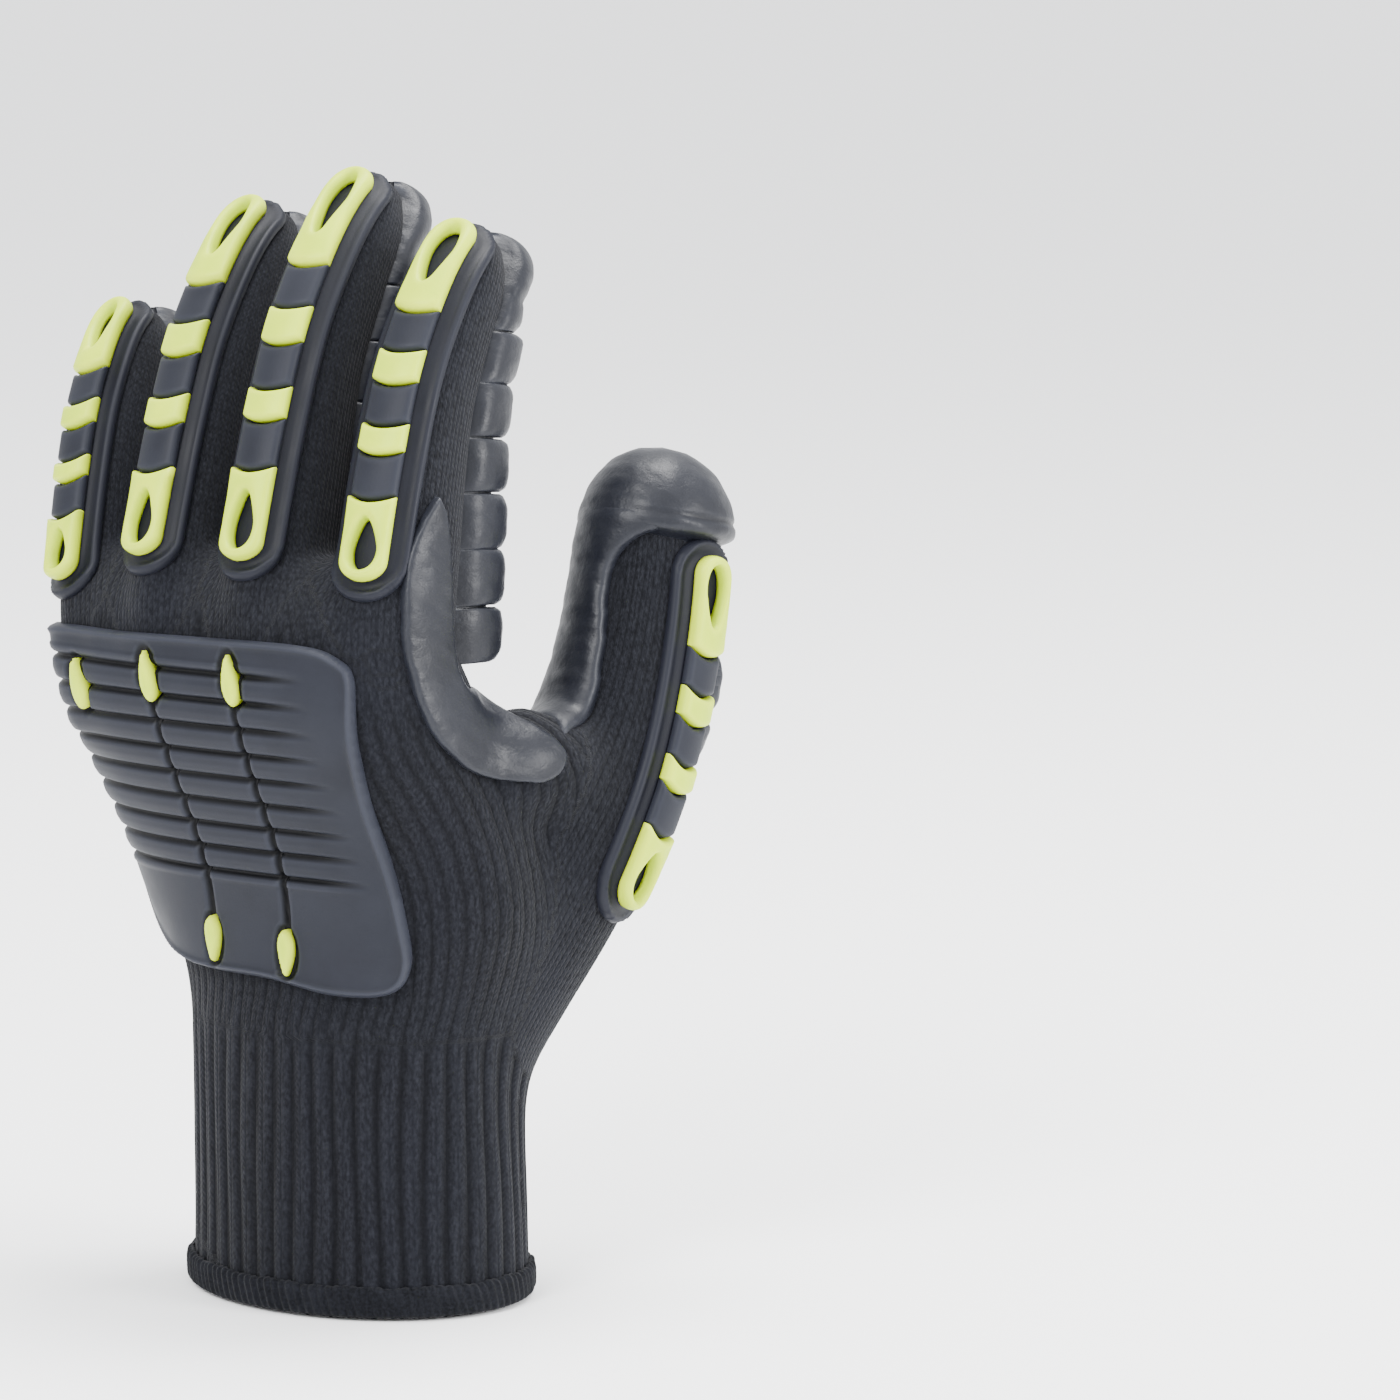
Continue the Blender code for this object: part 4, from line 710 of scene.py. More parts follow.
def guard_rubber(name, dark, light, roughness):
    """Moulded rubber: satin, with a fine tooth from the mould, a painted highlight on its sharp
    edges and painted shade in its grooves.
    """
    f = Finish(name, roughness, Specular_IOR_Level=0.14)
    tooth, cloudy = f.noise(2600.0, detail=2.0), f.noise(70.0, detail=3.0)
    edges = f.spread(f.node("NewGeometry").outputs["Pointiness"], 0.505, 0.56)
    body = f.blend(f.spread(cloudy, 0.3, 0.7), dark, light)
    # Painted highlight: sharp convex edges are painted paler.
    edge_highlight = tuple(min(1.0, c * 1.9 + 0.006) for c in light)
    body = f.blend(f.math("MULTIPLY", edges, 0.6), body, edge_highlight)
    # Painted shade: the grooves marked on the plate are painted dark.
    groove_shade = f.node("Attribute", attribute_name="groove_shade").outputs["Fac"]
    body = f.blend(f.spread(groove_shade, 0.10, 0.60, 0.0, 0.96), body, GROOVE_SHADE)
    return f.done(body, f.bump(tooth, 0.25, 0.00012),
                  f.spread(cloudy, 0.3, 0.7, roughness - 0.06, roughness + 0.08))


def signal_rubber():
    """Bright yellow-green rubber, with a painted highlight on its sharp edges."""
    f = Finish("signal_yellow_rubber", 0.46, Specular_IOR_Level=0.25)
    tooth, cloudy = f.noise(2200.0, detail=2.0), f.noise(110.0, detail=3.0)
    body = f.blend(f.spread(cloudy, 0.3, 0.7), YELLOW_DEEP, YELLOW_BRIGHT)
    # Painted highlight: sharp convex edges are painted paler.
    edges = f.spread(f.node("NewGeometry").outputs["Pointiness"], 0.50, 0.58)
    body = f.blend(f.math("MULTIPLY", edges, 0.5), body, YELLOW_EDGE_HIGHLIGHT)
    return f.done(body, f.bump(tooth, 0.25, 0.00012))


black_rubber = guard_rubber("black_guard_rubber", BLACK_DARK, BLACK_LIGHT, 0.48)
grey_rubber = guard_rubber("grey_guard_rubber", GREY_DARK, GREY_LIGHT, 0.52)
yellow_rubber = signal_rubber()


def seat_on(tree, points, normals, reach, miss=3.0):
    """The points let down along their normals onto the skin under them."""
    seated = points.copy()
    for i, (point, normal) in enumerate(zip(points, normals)):
        start, down = Vector(point + normal * reach), Vector(-normal)
        hit = tree.ray_cast(start, down, reach + miss)[0]
        if hit is not None:
            seated[i] = hit
    return seated


def smooth_outline(corners, each=10):
    """A closed smooth line through the corners."""
    corners = np.asarray(corners, float)
    n = len(corners)
    line = []
    for i in range(n):
        a, b, c, d = (corners[(i + k) % n] for k in (-1, 0, 1, 2))
        for t in np.arange(each) / each:
            line.append(0.5 * (2 * b + (c - a) * t + (2 * a - 5 * b + 4 * c - d) * t ** 2
                               + (3 * b - 3 * c + d - a) * t ** 3))
    return np.array(line)


def edge_depth(line, places):
    """How far the places lie inside a closed line, and the nearest place on it."""
    ahead = np.roll(line, -1, axis=0)
    best = np.full(len(places), 1e18)
    nearest = np.zeros_like(places)
    crossings = np.zeros(len(places), int)
    for a, b in zip(line, ahead):
        d = b - a
        length = max((d * d).sum(), 1e-12)
        t = np.clip(((places - a) @ d) / length, 0.0, 1.0)
        foot = a + t[:, None] * d
        gap = ((places - foot) ** 2).sum(1)
        closer = gap < best
        best[closer], nearest[closer] = gap[closer], foot[closer]
        if a[0] != b[0]:
            between = (a[0] > places[:, 0]) != (b[0] > places[:, 0])
            cross = a[1] + (places[:, 0] - a[0]) / (b[0] - a[0]) * (b[1] - a[1])
            crossings += between & (places[:, 1] < cross)
    inside = crossings % 2 == 1
    return np.sqrt(best) * np.where(inside, 1.0, -1.0), nearest


class Sheet:
    """A flat sheet of small square cells cut to an outline: its places as (run,
    across), how far each lies from the edge, its cells and its cut edges."""

    def __init__(self, line, cell):
        low, high = line.min(0) - cell, line.max(0) + cell
        grid = np.stack(np.meshgrid(np.arange(low[0], high[0] + cell, cell),
                                    np.arange(low[1], high[1] + cell, cell), indexing="ij"), -1)
        shape = grid.shape[:2]
        flat = grid.reshape(-1, 2)
        depth, nearest = edge_depth(line, flat)
        keep = (depth > -0.42 * cell).reshape(shape)
        full = keep[:-1, :-1] & keep[1:, :-1] & keep[1:, 1:] & keep[:-1, 1:]
        number = np.arange(shape[0] * shape[1]).reshape(shape)
        r, c = np.nonzero(full)
        cells = np.stack([number[r, c], number[r + 1, c], number[r + 1, c + 1], number[r, c + 1]], 1)
        edges = np.concatenate([cells[:, [k, (k + 1) % 4]] for k in range(4)])
        keys = np.sort(edges, axis=1)
        _, where, times = np.unique(keys, axis=0, return_index=True, return_counts=True)
        cut = edges[where[times == 1]]
        border = np.unique(cut)
        flat = flat.copy()
        flat[border] = nearest[border]
        depth = np.maximum(depth, 0.0)
        depth[border] = 0.0
        used = np.unique(cells)
        renumber = np.zeros(len(flat), int)
        renumber[used] = np.arange(len(used))
        self.places, self.depth = flat[used], depth[used]
        self.cells, self.cut = renumber[cells], renumber[cut]

    def settle(self, points, times=40):
        """Seats evened out between neighbours, as thick foam bridges small dips."""
        near = np.concatenate([self.cells[:, [k, (k + 1) % 4]] for k in range(4)])
        near = np.concatenate([near, near[:, ::-1]])
        links = np.bincount(near[:, 0], minlength=len(points))[:, None]
        for _ in range(times):
            around = np.stack([np.bincount(near[:, 0], points[near[:, 1], axis], len(points))
                               for axis in range(3)], 1)
            points = points + 0.5 * (around / links - points)
        return points

    def solid(self, points, normals, top, root):
        """Points and faces of the sheet as a solid between two lifts off its seat."""
        n = len(points)
        upper = points + normals * np.broadcast_to(top, n)[:, None]
        lower = points + normals * np.broadcast_to(root, n)[:, None]
        faces = [tuple(c) for c in self.cells.tolist()]
        faces += [tuple(i + n for i in reversed(c)) for c in self.cells.tolist()]
        faces += [(b, a, a + n, b + n) for a, b in self.cut.tolist()]
        return np.concatenate([upper, lower]), faces


def rounded(distance, width):
    """0 at an edge, 1 from the given distance inwards, round in between."""
    t = np.clip(np.asarray(distance, float) / width, 0.0, 1.0)
    return np.sqrt(t * (2.0 - t))


def slab(top, bottom):
    """Points and faces of a solid between two grids of the same size."""
    rows, columns = top.shape[:2]
    n = rows * columns
    at = np.arange(n).reshape(rows, columns)
    quads = np.stack([at[:-1, :-1], at[:-1, 1:], at[1:, 1:], at[1:, :-1]], -1).reshape(-1, 4)
    faces = [tuple(q) for q in quads.tolist()]
    faces += [tuple(i + n for i in reversed(q)) for q in quads.tolist()]
    rim = np.concatenate([at[0, :], at[1:, -1], at[-1, -2::-1], at[-2:0:-1, 0]]).tolist()
    faces += [(b, a, a + n, b + n) for a, b in zip(rim, rim[1:] + rim[:1])]
    return np.concatenate([top.reshape(-1, 3), bottom.reshape(-1, 3)]), faces


def hoop(rings):
    """Points and faces of a closed band through rings of the same count."""
    count, n = len(rings), len(rings[0])
    faces = [(k * n + i, k * n + (i + 1) % n, (k + 1) % count * n + (i + 1) % n,
              (k + 1) % count * n + i) for k in range(count) for i in range(n)]
    return np.concatenate(rings), faces


class Guard:
    """Where a moulded strip lies along a tube."""

    def __init__(self, name, tube, low, high, turns, breadth):
        self.name, self.tube, self.low, self.high, self.turns = name, tube, low, high, turns
        self.flange, self.strip = FLANGE_WIDTH / 2 * breadth, STRIP_WIDTH / 2 * breadth
        first, last = GUARD_PIECES[0][1], GUARD_PIECES[-1][2]
        self.spans = [(piece, low + (high - low) * (a - first) / (last - first),
                       low + (high - low) * (b - first) / (last - first))
                      for piece, a, b in GUARD_PIECES]

    def seat(self, run, across):
        first, last = self.turns
        turn = first + (last - first) * (run - self.low) / (self.high - self.low)
        across = across + turn / 180.0 * self.tube.half_girth(np.minimum(run, self.high))
        points, normals = self.tube.point(run, across), self.tube.normal(run, across)
        return seat_on(skin, points, normals, GUARD_REACH), normals

    def grid(self, runs, acrosses):
        points, normals = self.seat(runs.ravel(), acrosses.ravel())
        return points.reshape(*runs.shape, 3), normals.reshape(*runs.shape, 3)


def stadium(low, high, half):
    """A line with round ends, as (run, across) points."""
    turns = np.radians(np.arange(0, 181, 9))
    top = np.stack([high - half + half * np.sin(turns), -half * np.cos(turns)], 1)
    bottom = np.stack([low + half - half * np.sin(turns), half * np.cos(turns)], 1)
    return np.concatenate([top, bottom])


def make_flange(guard):
    low, high = guard.spans[0][1] - FLANGE_MARGIN, guard.spans[-1][2] + FLANGE_MARGIN
    sheet = Sheet(stadium(low, high, guard.flange), FLANGE_CELL)
    points, normals = guard.seat(sheet.places[:, 0], sheet.places[:, 1])
    bead = BEAD_HEIGHT * np.exp(-((sheet.depth - BEAD_PLACE) / BEAD_WIDTH) ** 2)
    hollow = HOLLOW_DEPTH * np.exp(-((sheet.depth - HOLLOW_PLACE) / HOLLOW_WIDTH) ** 2)
    top = (SEAT_GAP + FLANGE_EDGE + (FLANGE_THICKNESS - FLANGE_EDGE) * rounded(sheet.depth, 1.0)
           + bead - hollow)
    points, faces = sheet.solid(points, normals, top, FLANGE_ROOT)
    flange = make_piece(guard.name + "_flange", points, faces, black_rubber)
    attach(flange, "root")
    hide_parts(guard.name + "_guard")


def make_bar(guard, name, low_edge, high_edge, rise, finish, node):
    """A crowned bar across the strip, between two curved edges."""
    shares = np.sin(np.linspace(-1, 1, 25) * math.pi / 2)
    along = (np.sin(np.linspace(-1, 1, 21) * math.pi / 2) + 1) / 2
    t, s = np.meshgrid(shares, along)
    lows, highs = low_edge(t), high_edge(t)
    runs, acrosses = lows + (highs - lows) * s, guard.strip * t
    points, normals = guard.grid(runs, acrosses)
    span = highs - lows
    to_edge = np.minimum(np.minimum(s, 1 - s) * span, (1 - np.abs(t)) * guard.strip)
    lift = (SEAT_GAP * 2 + FLANGE_THICKNESS + INSERT_EDGE + (rise - INSERT_EDGE)
            * rounded(to_edge, INSERT_ROUND) * (1.0 - INSERT_CROWN * t ** 2))
    top = points + normals * lift[..., None]
    bottom = points + normals * (LOOP_SEAT + FLANGE_THICKNESS - INSERT_SINK)
    bar = make_piece(name, *slab(top, bottom), finish)
    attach(bar, "root")
    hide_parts(node)


def make_loop(guard, name, low, high):
    """A yellow loop, round at its outer end, with a drop-shaped hole."""
    outward = name.endswith("tip_loop")
    length, side = high - low, guard.strip
    hole_low, hole_high = ((low + HOLE_LOW * length, high - LOOP_WALL) if outward
                           else (low + LOOP_WALL, low + HOLE_HIGH * length))
    middle, half_hole = (hole_low + hole_high) / 2, (hole_high - hole_low) / 2
    sign = 1.0 if outward else -1.0
    turns = np.radians(np.arange(0, 181, 5))
    ends = np.stack([(high - side if outward else low + side) + sign * side * np.sin(turns),
                     -side * np.cos(turns) * sign], 1)
    t = np.linspace(1, -1, 17)
    edge = (low + CHEVRON_DIP * t ** 2) if outward else (high - CHEVRON_DIP * (1 - t ** 2))
    outline = np.concatenate([ends, np.stack([edge, side * t * sign], 1)])
    angles = np.sort(np.concatenate([
        np.radians(np.arange(0, 360, 5.0)),
        np.arctan2(side * np.array((1, -1)) * sign, edge[[0, -1]] - middle) % (2 * math.pi)]))
    c, s = np.cos(angles), np.sin(angles)
    hole = np.stack([middle + half_hole * c * np.abs(c) ** 0.15,
                     (side - LOOP_WALL + 0.10) * s * (1.0 + 0.33 * c * sign)], 1)
    outer = np.zeros_like(hole)
    centre = np.array((middle, 0.0))
    for i, (dc, ds) in enumerate(zip(c, s)):
        far = 0.0
        for a, b in zip(outline, np.roll(outline, -1, axis=0)):
            d, rel = b - a, a - centre
            cross = dc * d[1] - ds * d[0]
            if abs(cross) > 1e-9:
                reach = (rel[0] * d[1] - rel[1] * d[0]) / cross
                share = (rel[0] * ds - rel[1] * dc) / cross
                if reach > 0 and -1e-6 <= share <= 1 + 1e-6:
                    far = max(far, reach)
        outer[i] = centre + np.array((dc, ds)) * far
    rings = []
    wall = np.linalg.norm(outer - hole, axis=1)
    for f in (np.sin(np.linspace(-1, 1, 13) * math.pi / 2) + 1) / 2:
        places = outer + (hole - outer) * f
        points, normals = guard.seat(places[:, 0], places[:, 1])
        to_edge = np.minimum(f, 1 - f) * wall
        lift = (SEAT_GAP * 2 + FLANGE_THICKNESS + INSERT_EDGE + (STRIP_RISE - INSERT_EDGE)
                * rounded(to_edge, INSERT_ROUND)
                * (1.0 - INSERT_CROWN * (places[:, 1] / side) ** 2))
        rings.append(points + normals * lift[:, None])
    for places in (hole, outer):
        points, normals = guard.seat(places[:, 0], places[:, 1])
        rings.append(points + normals * (LOOP_SEAT + FLANGE_THICKNESS - INSERT_SINK))
    loop = make_piece(name, *hoop(rings), yellow_rubber)
    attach(loop, "root")
    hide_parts(name)


guards = [Guard(name, fingers[name], GUARD_LOW * data[1][0], GUARD_HIGH * data[1][0],
                (data[3], data[3]), data[1][1] / FINGERS["index"][1][1])
          for name, data in FINGERS.items()]
guards.append(Guard("thumb", thumb, THUMB_GUARD_LOW * THUMB_RISE, THUMB_GUARD_HIGH * THUMB_RISE,
                    THUMB_GUARD_TURN, THUMB_GUARD_BREADTH))
for guard in guards:
    make_flange(guard)
    for piece, low, high in guard.spans:
        label = guard.name + "_" + piece
        if piece.endswith("loop"):
            make_loop(guard, label, low, high)
        else:
            make_bar(guard, label, lambda t, low=low: low + CHEVRON_DIP * t * t,
                     lambda t, high=high: high - CHEVRON_DIP * (1.0 - t * t), STRIP_RISE,
                     yellow_rubber, label)
    for number, (below, above) in enumerate(zip(guard.spans, guard.spans[1:]), 1):
        make_bar(guard, f"{guard.name}_segment_{number}",
                 lambda t, high=below[2]: high - CHEVRON_DIP * (1.0 - t * t) + PIECE_GAP,
                 lambda t, low=above[1]: low + CHEVRON_DIP * t * t - PIECE_GAP, SEGMENT_RISE,
                 grey_rubber, guard.name + "_guard")


# The plate on the back of the hand is one moulded sheet of grey rubber with a thin
# raised rim. Nine slats across it and two fine joints along it let it bend, and five
# yellow drops end the joints. It is sewn down under its rim.
PLATE_THICKNESS, PLATE_RIB, PLATE_RIBS = 2.4, 1.2, 9
PLATE_TOP, PLATE_PITCH, PLATE_FADE = 0.863, 5.8, 0.5
PLATE_OUTLINE = (
    (0.885, -1.02), (0.902, -0.85), (0.905, -0.38), (0.908, 0.10), (0.908, 0.52), (0.895, 0.69),
    (0.865, 0.76), (0.775, 0.71), (0.667, 0.655), (0.548, 0.645), (0.476, 0.635), (0.4375, 0.54),
    (0.430, 0.29), (0.443, -0.06), (0.446, -0.54), (0.476, -0.85), (0.548, -1.06),
    (0.655, -1.17), (0.775, -1.17),
)
DROP_LENGTH, DROP_WIDTH = 11.0, 4.4
DROPS = (("drop_outer", 0.830, -0.73, 1.0), ("drop_middle", 0.852, -0.28, 1.0),
         ("drop_inner", 0.857, 0.173, 1.0), ("drop_low_outer", 0.488, -0.346, -1.0),
         ("drop_low_inner", 0.482, 0.067, -1.0))
JOINTS = ((1, 3), (2, 4))    # drops at the two ends of each joint
PLATE_CELL, PLATE_ROOT, PLATE_REACH = 0.5, -1.6, 9.0
RIM_HEIGHT, RIM_PLACE, RIM_WIDTH, PLATE_ROUND = 0.55, 1.2, 0.55, 1.3
SLAT_GROOVE_WIDTH, SLAT_GROOVE_DEPTH = 0.62, 1.45
EDGE_GROOVE_WIDER, EDGE_GROOVE_DEEPER = 0.35, 1.7
JOINT_WIDTH, JOINT_WIDENING, JOINT_DEPTH = 0.60, 0.25, 1.9
DROP_SLIMNESS, DROP_POCKET, DROP_RISE, DROP_CELL = 0.86, 0.9, 1.3, 0.35


def on_hand_back(places):
    """Seats on the back of the hand, at heights and distances from its middle line."""
    points, normals = hand.point(places[:, 0], places[:, 1]), hand.normal(places[:, 0], places[:, 1])
    return seat_on(skin, points, normals, PLATE_REACH), normals


def cut_sheet(outline, rise, breadth, cell):
    """A sheet cut to an outline that is given in shares of a rise and a breadth."""
    return Sheet(smooth_outline([(up * rise, side * breadth) for up, side in outline]), cell)


half_breadth = PALM_BREADTH / 2
drop_places = [(up * HAND_HEIGHT, side * half_breadth) for _, up, side, _ in DROPS]
sheet = cut_sheet(PLATE_OUTLINE, HAND_HEIGHT, half_breadth, PLATE_CELL)
points, normals = on_hand_back(sheet.places)
run, across = sheet.places[:, 0], sheet.places[:, 1]
step = (PLATE_TOP * HAND_HEIGHT - run) / PLATE_PITCH
nearest_slat = np.clip(np.round(step), 0, PLATE_RIBS - 1)
to_groove = np.abs(step - nearest_slat) * PLATE_PITCH
fade = np.clip((PLATE_FADE * half_breadth + 3.0 - across) / 14.0, 0.0, 1.0)
at_edge = np.clip((-0.95 * half_breadth - across) / 6.0, 0.0, 1.0)
slat_groove = np.exp(-(to_groove / (SLAT_GROOVE_WIDTH + EDGE_GROOVE_WIDER * at_edge)) ** 2) * fade
crowned = np.clip(to_groove / (PLATE_PITCH / 2), 0, 1) * (step > -0.4) * (step < PLATE_RIBS - 0.6)
long_groove = np.zeros(len(run))
for top_end, low_end in JOINTS:
    (top_run, top_side), (low_run, low_side) = drop_places[top_end], drop_places[low_end]
    share = np.clip((top_run - run) / (top_run - low_run), 0.0, 1.0)
    line = top_side + (low_side - top_side) * share ** 1.15
    along = (run < top_run) & (run > low_run)
    breadth = JOINT_WIDTH + JOINT_WIDENING * share
    long_groove = np.maximum(long_groove, np.exp(-((across - line) / breadth) ** 2) * along)
pocket = np.zeros(len(run))
for place in drop_places:
    gap = np.hypot((run - place[0]) / (DROP_LENGTH / 2 + DROP_POCKET),
                   (across - place[1]) / (DROP_WIDTH / 2 + DROP_POCKET))
    pocket = np.maximum(pocket, np.clip((1.12 - gap) / 0.2, 0.0, 1.0))
rim = np.exp(-((sheet.depth - RIM_PLACE) / RIM_WIDTH) ** 2)
lift = (SEAT_GAP + PLATE_THICKNESS * (0.35 + 0.65 * rounded(sheet.depth, PLATE_ROUND))
        + RIM_HEIGHT * rim)
lift += 0.35 * PLATE_RIB * crowned * fade * np.clip(sheet.depth / 3.0, 0, 1)
lift -= ((SLAT_GROOVE_DEPTH + EDGE_GROOVE_DEEPER * at_edge) * slat_groove
         * np.clip((sheet.depth + 3.0 * at_edge) / 2.5, 0, 1))
lift -= JOINT_DEPTH * np.maximum(long_groove, 0.5 * pocket)
solid_points, faces = sheet.solid(points, normals, lift, PLATE_ROOT)
plate = make_piece("hand_plate", solid_points, faces, grey_rubber)
# Painted shade: this marks the grooves and the pockets round the drops to be painted dark.
dark = np.maximum(np.maximum(slat_groove * np.clip(sheet.depth / 2.0, 0, 1), long_groove),
                  0.75 * pocket)
layer = plate.data.attributes.new("groove_shade", "FLOAT", "POINT")
layer.data.foreach_set("value", np.concatenate([dark, dark]).astype(np.float32))
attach(plate, "root")
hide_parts("back_plate")

for (name, up, side, point_way), place in zip(DROPS, drop_places):
    turns = np.radians(np.arange(0, 360, 6))
    taper = (1.0 - 0.42 * np.cos(turns) * point_way) * np.abs(np.sin(turns)) ** 0.25
    line = np.stack([place[0] + DROP_LENGTH / 2 * np.cos(turns),
                     place[1] + DROP_SLIMNESS * DROP_WIDTH / 2 * taper * np.sin(turns)], 1)
    sheet = Sheet(line, DROP_CELL)
    points, normals = on_hand_back(sheet.places)
    top = SEAT_GAP + PLATE_THICKNESS + 0.1 + DROP_RISE * rounded(sheet.depth, 1.6)
    drop = make_piece(name, *sheet.solid(points, normals, top, 0.2), yellow_rubber)
    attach(drop, "root")
    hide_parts(name)


# The finger pads are cast of soft foam rubber with a satin skin and glued to the palm
# side of each finger: plump ribs with deep grooves, so that the finger bends, and one
# smooth dome over the fingertip.
PAD_THICKNESS, DOME_THICKNESS, PAD_GROOVE, PAD_SIDE, PAD_SQUARE = 14.5, 9.5, 6.0, 1.6, 4.0
PAD_WRAP, PAD_SHEAR, DOME_START, PAD_END, PAD_LOW = (40.0, 62.0), 0.75, 0.765, 4.5, -2.0
RIB_SAMPLES, DOME_SAMPLES, PAD_COLUMNS = 15, 34, 49
RIB_POWER, DOME_POWER, DOME_FULL, DOME_SQUARE = 3.4, 2.3, 0.42, 2.2
TIP_FROM, TIP_LENGTH, TIP_POWER, LINE_FROM = 0.4, 0.612, 2.1, 0.84
PAD_ROOT, PAD_NARROWING, PAD_RUMPLE = 0.35, 1.2, 0.30
FOAM_DARK, FOAM_LIGHT = (0.0036, 0.0042, 0.0070), (0.0072, 0.0081, 0.0122)
# Of the three tones below, the first is the foam's own pores, the second painted shade in the
# creases and the third a painted highlight on the high places.
FOAM_PORES, FOAM_CREASE_SHADE, FOAM_CREST_HIGHLIGHT = ((0.0125, 0.0140, 0.0195), (0.0016, 0.0018, 0.0030),
                                        (0.030, 0.0325, 0.0415))


def foam_rubber():
    """Satin foam rubber: small dents, with painted shade in its creases and a painted highlight on
    its high places.
    """
    f = Finish("grey_foam_rubber", 0.42, Specular_IOR_Level=0.24)
    pores, dents = f.noise(1900.0, detail=3.0), f.noise(210.0, (1.0, 1.0, 1.3), 4.0)
    cloudy = f.noise(48.0, detail=3.0)
    tone = f.blend(f.spread(cloudy, 0.3, 0.7), FOAM_DARK, FOAM_LIGHT)
    tone = f.blend(f.spread(pores, 0.55, 0.75, 0.0, 0.35), tone, FOAM_PORES)
    point = f.node("NewGeometry").outputs["Pointiness"]
    # Painted shade: hollow creases are painted darker.
    tone = f.blend(f.spread(point, 0.49, 0.44, 0.0, 0.75), tone, FOAM_CREASE_SHADE)
    # Painted highlight: high places are painted paler.
    tone = f.blend(f.spread(point, 0.51, 0.58, 0.0, 0.55), tone, FOAM_CREST_HIGHLIGHT)
    low = f.bump(dents, 0.30, 0.0012)
    return f.done(tone, f.bump(pores, 0.22, 0.00018, low),
                  f.spread(dents, 0.3, 0.7, 0.36, 0.50))


foam = foam_rubber()


def rumple(points, depth):
    """Points moved a little, by a fixed mix of waves, as cast foam rubber settles."""
    x, y, z = points[..., 0], points[..., 1], points[..., 2]
    wave = (np.sin(x * 0.61 + y * 0.33 + 0.4) * np.sin(z * 0.47 + x * 0.21)
            + 0.6 * np.sin(x * 0.27 - z * 0.83 + 2.1) * np.sin(y * 0.71 + 1.1)
            + 0.4 * np.sin(z * 1.3 + y * 0.9))
    return depth * wave / 2.0


for name, data in FINGERS.items():
    tube = fingers[name]
    length, ribs = data[1][0], data[4]
    dome, top = DOME_START * length, length + PAD_END
    pitch = (dome - PAD_LOW) / ribs
    spread = (1.0 - np.cos(np.linspace(0, 1, RIB_SAMPLES) * math.pi)) / 2
    stations = []
    for i in range(ribs):
        for x in spread:
            stations.append((PAD_LOW + (i + min(max(x, 0.012), 0.988)) * pitch,
                             (1.0 - abs(2.0 * x - 1.0) ** RIB_POWER) ** (1 / RIB_POWER), 0.0))
    dome_at = (1.0 - np.cos(np.linspace(0, 1, DOME_SAMPLES) * math.pi)) / 2
    for at in dome_at:
        share = (1.0 - (1.0 - min(at / DOME_FULL, 1.0)) ** DOME_POWER) ** (1 / DOME_POWER)
        stations.append((dome + (top - dome) * max(at, 0.006), share, at))
    columns = np.sin(np.linspace(-1, 1, PAD_COLUMNS) * math.pi / 2)
    upper, lower = [], []
    for run, share, tip in stations:
        m, _ = tube.row(min(run, length * LINE_FROM))
        side, back = tube.side[m], tube.back[m]
        wide, deep, centre = tube.wide[m], tube.deep[m], tube.centre[m]
        ahead = -np.cross(side, back)
        if run > length * LINE_FROM:
            centre, ahead = finger_line(name, run)
            back = unit(back - ahead * back.dot(ahead))
        follow = math.asin(max(-1.0, min(ahead[1], 1.0))) * PAD_SHEAR
        forward, inward = math.sin(follow), math.cos(follow)
        so_far = min(1.0, max(run, 0.0) / dome)
        thick = PAD_THICKNESS - (PAD_THICKNESS - DOME_THICKNESS) * so_far ** 2
        full = 1.0
        reach = deep + thick - PAD_GROOVE * (1.0 - share)
        width = wide + PAD_SIDE - PAD_NARROWING * (1.0 - share)
        if tip > TIP_FROM:
            full = math.sqrt(max(0.0, 1.0 - ((tip - TIP_FROM) / TIP_LENGTH) ** TIP_POWER))
            reach, width = (deep + thick) * full, (wide + PAD_SIDE) * full
        square = PAD_SQUARE - (PAD_SQUARE - DOME_SQUARE) * min(1.0, tip / 0.3)
        wrap = PAD_WRAP[0] + (PAD_WRAP[1] - PAD_WRAP[0]) * so_far
        turns = np.radians(wrap * columns)
        s, c = np.sin(turns), np.cos(turns)
        radius = (np.abs(s / width) ** square + np.abs(c / reach) ** square) ** (-1 / square)
        root = PAD_ROOT * min(deep, wide) * full
        edge = (1.0 - np.abs(columns) ** 9) ** (1 / 9)
        radius = root + (radius - root) * edge
        for grid, r in ((upper, radius), (lower, np.full(len(columns), root * 0.98))):
            grid.append(centre + side * (s * r)[:, None] - back * (c * r * inward)[:, None]
                        + ahead * (c * r * forward)[:, None])
    upper, lower = np.array(upper), np.array(lower)
    m, _ = tube.row(length * 0.5)
    upper += -tube.back[m] * rumple(upper, PAD_RUMPLE)[..., None]
    pad = make_piece(name + "_finger_pad", *slab(upper, lower), foam)
    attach(pad, "root")
    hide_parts(name + "_pad")


